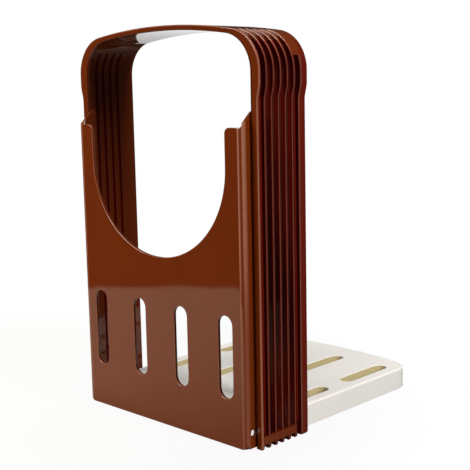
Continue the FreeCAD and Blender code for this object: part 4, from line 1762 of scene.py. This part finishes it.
@dataclass
class Studio:
    """Pale floor, backdrop, world and lamps, in metres."""

    floor_radius: float = 0.32
    floor_centre: tuple[float, float] = (-0.1240, -0.1275)
    floor_colour: Colour = (0.57, 0.53, 0.41)
    floor_back: float = 0.08
    floor_sides: int = 128
    floor_drop: float = 0.0002
    rim_span: tuple[float, float] = (0.6, 0.97)     # shares of the radius where white takes over
    white_share: float = 0.94
    fade_way: tuple[float, float, float] = (0.697, 0.717, 0.0)  # away from the camera
    fade_span: tuple[float, float] = (0.0, 0.25)
    world_fill: float = 0.035
    card_x: tuple[float, float] = (-1.6, 0.4)
    card_y: float = 1.15
    card_z: tuple[float, float] = (-0.5, 0.26)
    lamps: tuple[Lamp, ...] = (
        Lamp("front_soft", (-0.40, -1.05, 0.80), (0.0, 0.0, 0.10), 0.9, 0.6, 20.0,
             (1.0, 0.97, 0.93)),
        Lamp("side_soft", (1.15, -0.06, 0.75), (0.0, -0.06, 0.10), 0.25, 0.6, 18.0,
             (1.0, 0.975, 0.95), False),
        Lamp("top_soft", (-0.10, 0.55, 1.15), (0.0, 0.02, 0.05), 0.6, 0.6, 5.2,
             (1.0, 0.985, 0.97), False),
        Lamp("left_strip", (-0.48, -1.06, 0.30), (0.0, -0.08, 0.12), 0.05, 0.55, 0.3),
        Lamp("right_strip", (0.80, -1.02, 0.24), (0.0, -0.08, 0.12), 0.05, 0.43, 0.47,
             (1.0, 1.0, 1.0), False),
    )

    @staticmethod
    def _sheet(name: str, border: np.ndarray, material: bpy.types.Material,
               place: tuple[float, float, float] = (0.0, 0.0, 0.0)) -> bpy.types.Object:
        """Makes an object of one flat face.

        Args:
            name: Name of the object.
            border: Points (n, 3) round the face.
            material: Its material.
            place: Location of the object.

        Returns:
            The object.
        """
        mesh = bpy.data.meshes.new(name)
        mesh.from_pydata(border.tolist(), [], [list(range(len(border)))])
        mesh.materials.append(material)
        sheet = placed(name, mesh)
        sheet.location = place
        return sheet

    @staticmethod
    def _faded(weave: Weave, value: bpy.types.NodeSocket, start: float, stop: float,
               low: float = 0.0) -> bpy.types.NodeSocket:
        """Smooth step of a value from low, up to start, to one, from stop on."""
        return weave.node("ShaderNodeMapRange", interpolation_type="SMOOTHSTEP", in_Value=value,
                          in_From_Min=start, in_From_Max=stop,
                          in_To_Min=low).outputs["Result"]

    def _floor(self) -> None:
        """Round pale floor, drawn nearly white to the camera but keeping the shadow.

        The share of white rises to one at the rim, so that no edge shows, and the paper is
        darker in reflections towards the back.
        """
        material = bpy.data.materials.new("studio_white")
        weave = Weave.fresh(material)
        place = weave.node("ShaderNodeTexCoord").outputs["Object"]
        path = weave.node("ShaderNodeLightPath")
        reach = weave.node("ShaderNodeVectorMath", operation="LENGTH", in_Vector=place)
        start, stop = (share * self.floor_radius for share in self.rim_span)
        rim = self._faded(weave, reach.outputs["Value"], start, stop, self.white_share)
        behind = weave.node("ShaderNodeVectorMath", operation="DOT_PRODUCT", in_Vector=place)
        behind.inputs[1].default_value = self.fade_way
        tint = weave.mix(self._faded(weave, behind.outputs["Value"], *self.fade_span),
                         self.floor_colour, (self.floor_back,) * 3)
        matt = weave.node("ShaderNodeBsdfDiffuse", in_Color=tint)
        glow = weave.node("ShaderNodeEmission", in_Strength=1.0)
        mixed = weave.node("ShaderNodeMixShader")
        share = weave.math("MULTIPLY", path.outputs["Is Camera Ray"], rim)
        for source, target in zip((share, matt.outputs[0], glow.outputs[0]), mixed.inputs):
            weave.link(source, target)
        weave.node("ShaderNodeOutputMaterial", in_Surface=mixed.outputs[0])
        turn = np.linspace(0.0, AROUND, self.floor_sides + 1)[:-1]
        ring = lift(self.floor_radius * unit(turn), -self.floor_drop, 2)
        floor = self._sheet("studio_floor", ring, material, (*self.floor_centre, 0.0))

    def _world(self) -> None:
        """White to the camera, dim to everything else."""
        world = bpy.data.worlds.new("studio")
        bpy.context.scene.world = world
        weave = Weave.fresh(world)
        path = weave.node("ShaderNodeLightPath")
        strength = weave.math("MAXIMUM", path.outputs["Is Camera Ray"], self.world_fill)
        ground = weave.node("ShaderNodeBackground", in_Strength=strength,
                            in_Color=(1.0, 1.0, 1.0, 1.0))
        weave.node("ShaderNodeOutputWorld", in_Surface=ground.outputs[0])

    def _backdrop(self) -> None:
        """White card behind the object, which the gloss shows at low angles."""
        material = bpy.data.materials.new("backdrop_white")
        weave = Weave.fresh(material)
        glow = weave.node("ShaderNodeEmission", in_Strength=1.0)
        weave.node("ShaderNodeOutputMaterial", in_Surface=glow.outputs[0])
        (left, right), (low, high) = self.card_x, self.card_z
        border = boxed((left, low), (right, high), 1, 1)[:-1]
        card = self._sheet("backdrop_card", lift(border, self.card_y, 1), material)

    def build(self) -> None:
        """Builds floor, backdrop, world and lamps."""
        bpy.context.scene.view_settings.view_transform = "Standard"
        self._world()
        self._floor()
        self._backdrop()
        for lamp in self.lamps:
            lamp.hang()
        LOG.info("studio: %d lamps", len(self.lamps))


@dataclass
class Viewpoint:
    """Camera by bearing, height and tilt in degrees and distance from its aim in mm."""

    bearing: float = 44.210
    rise: float = 8.875
    tilt: float = -1.177
    distance: float = 573.20
    aim: tuple[float, float, float] = (59.85, 0.0, 127.34)
    focal_px: float = 984.44
    frame_px: float = 470.0
    sensor: float = 36.0
    clip: tuple[float, float] = (0.01, 20.0)

    def build(self) -> None:
        """Creates the camera and makes it the scene's own."""
        a, e, r = (math.radians(v) for v in (self.bearing, self.rise, self.tilt))
        back = Vector((math.sin(a) * math.cos(e), -math.cos(a) * math.cos(e), math.sin(e)))
        right = Vector((math.cos(a), math.sin(a), 0.0))
        up = back.cross(right)
        level = right * math.cos(r) + up * math.sin(r)
        plumb = up * math.cos(r) - right * math.sin(r)
        data = bpy.data.cameras.new("view")
        data.sensor_width = self.sensor
        data.lens = self.focal_px / self.frame_px * self.sensor
        data.clip_start, data.clip_end = self.clip
        camera = placed("view", data)
        spot = Vector(settle(self.aim).tolist()) + back * self.distance * MM
        turn = Matrix((level, plumb, back)).transposed().to_4x4()
        camera.matrix_world = Matrix.Translation(spot) @ turn
        bpy.context.scene.camera = camera
        LOG.info("camera: lens %.2f mm", data.lens)


# ------------------------------------------------------------------------------------------
# Assembly
# ------------------------------------------------------------------------------------------
def stand_for(piece: bpy.types.Object, body: str, node: str) -> None:
    """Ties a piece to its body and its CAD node.

    Args:
        piece: The finished piece.
        body: Body that it moves with.
        node: Node that it stands for.
    """
    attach(piece, body)
    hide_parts(node)
    LOG.info("%s rides %s for %s", piece.name, body, node)


def main() -> None:
    """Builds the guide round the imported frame."""
    logging.basicConfig(level=logging.INFO, format="%(name)s: %(message)s")
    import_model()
    effects = SharedEffects()
    brown, gap, white, slot, pin = (finish.value.material(effects) for finish in Finish)
    stand_for(CombFrame().build([brown, gap]), "frame", "comb_frame")
    stand_for(FrontPlate().build([brown]), "front", "front_plate")
    stand_for(LoafTray().build([white, slot]), "tray", "tray")
    for hand, side in ((-1.0, "left"), (1.0, "right")):
        stand_for(HingePin(hand).build("pin_" + side, [pin]), "tray", "hinge_pin_" + side)
    Studio().build()
    Viewpoint().build()


if __name__ == "__main__":
    main()
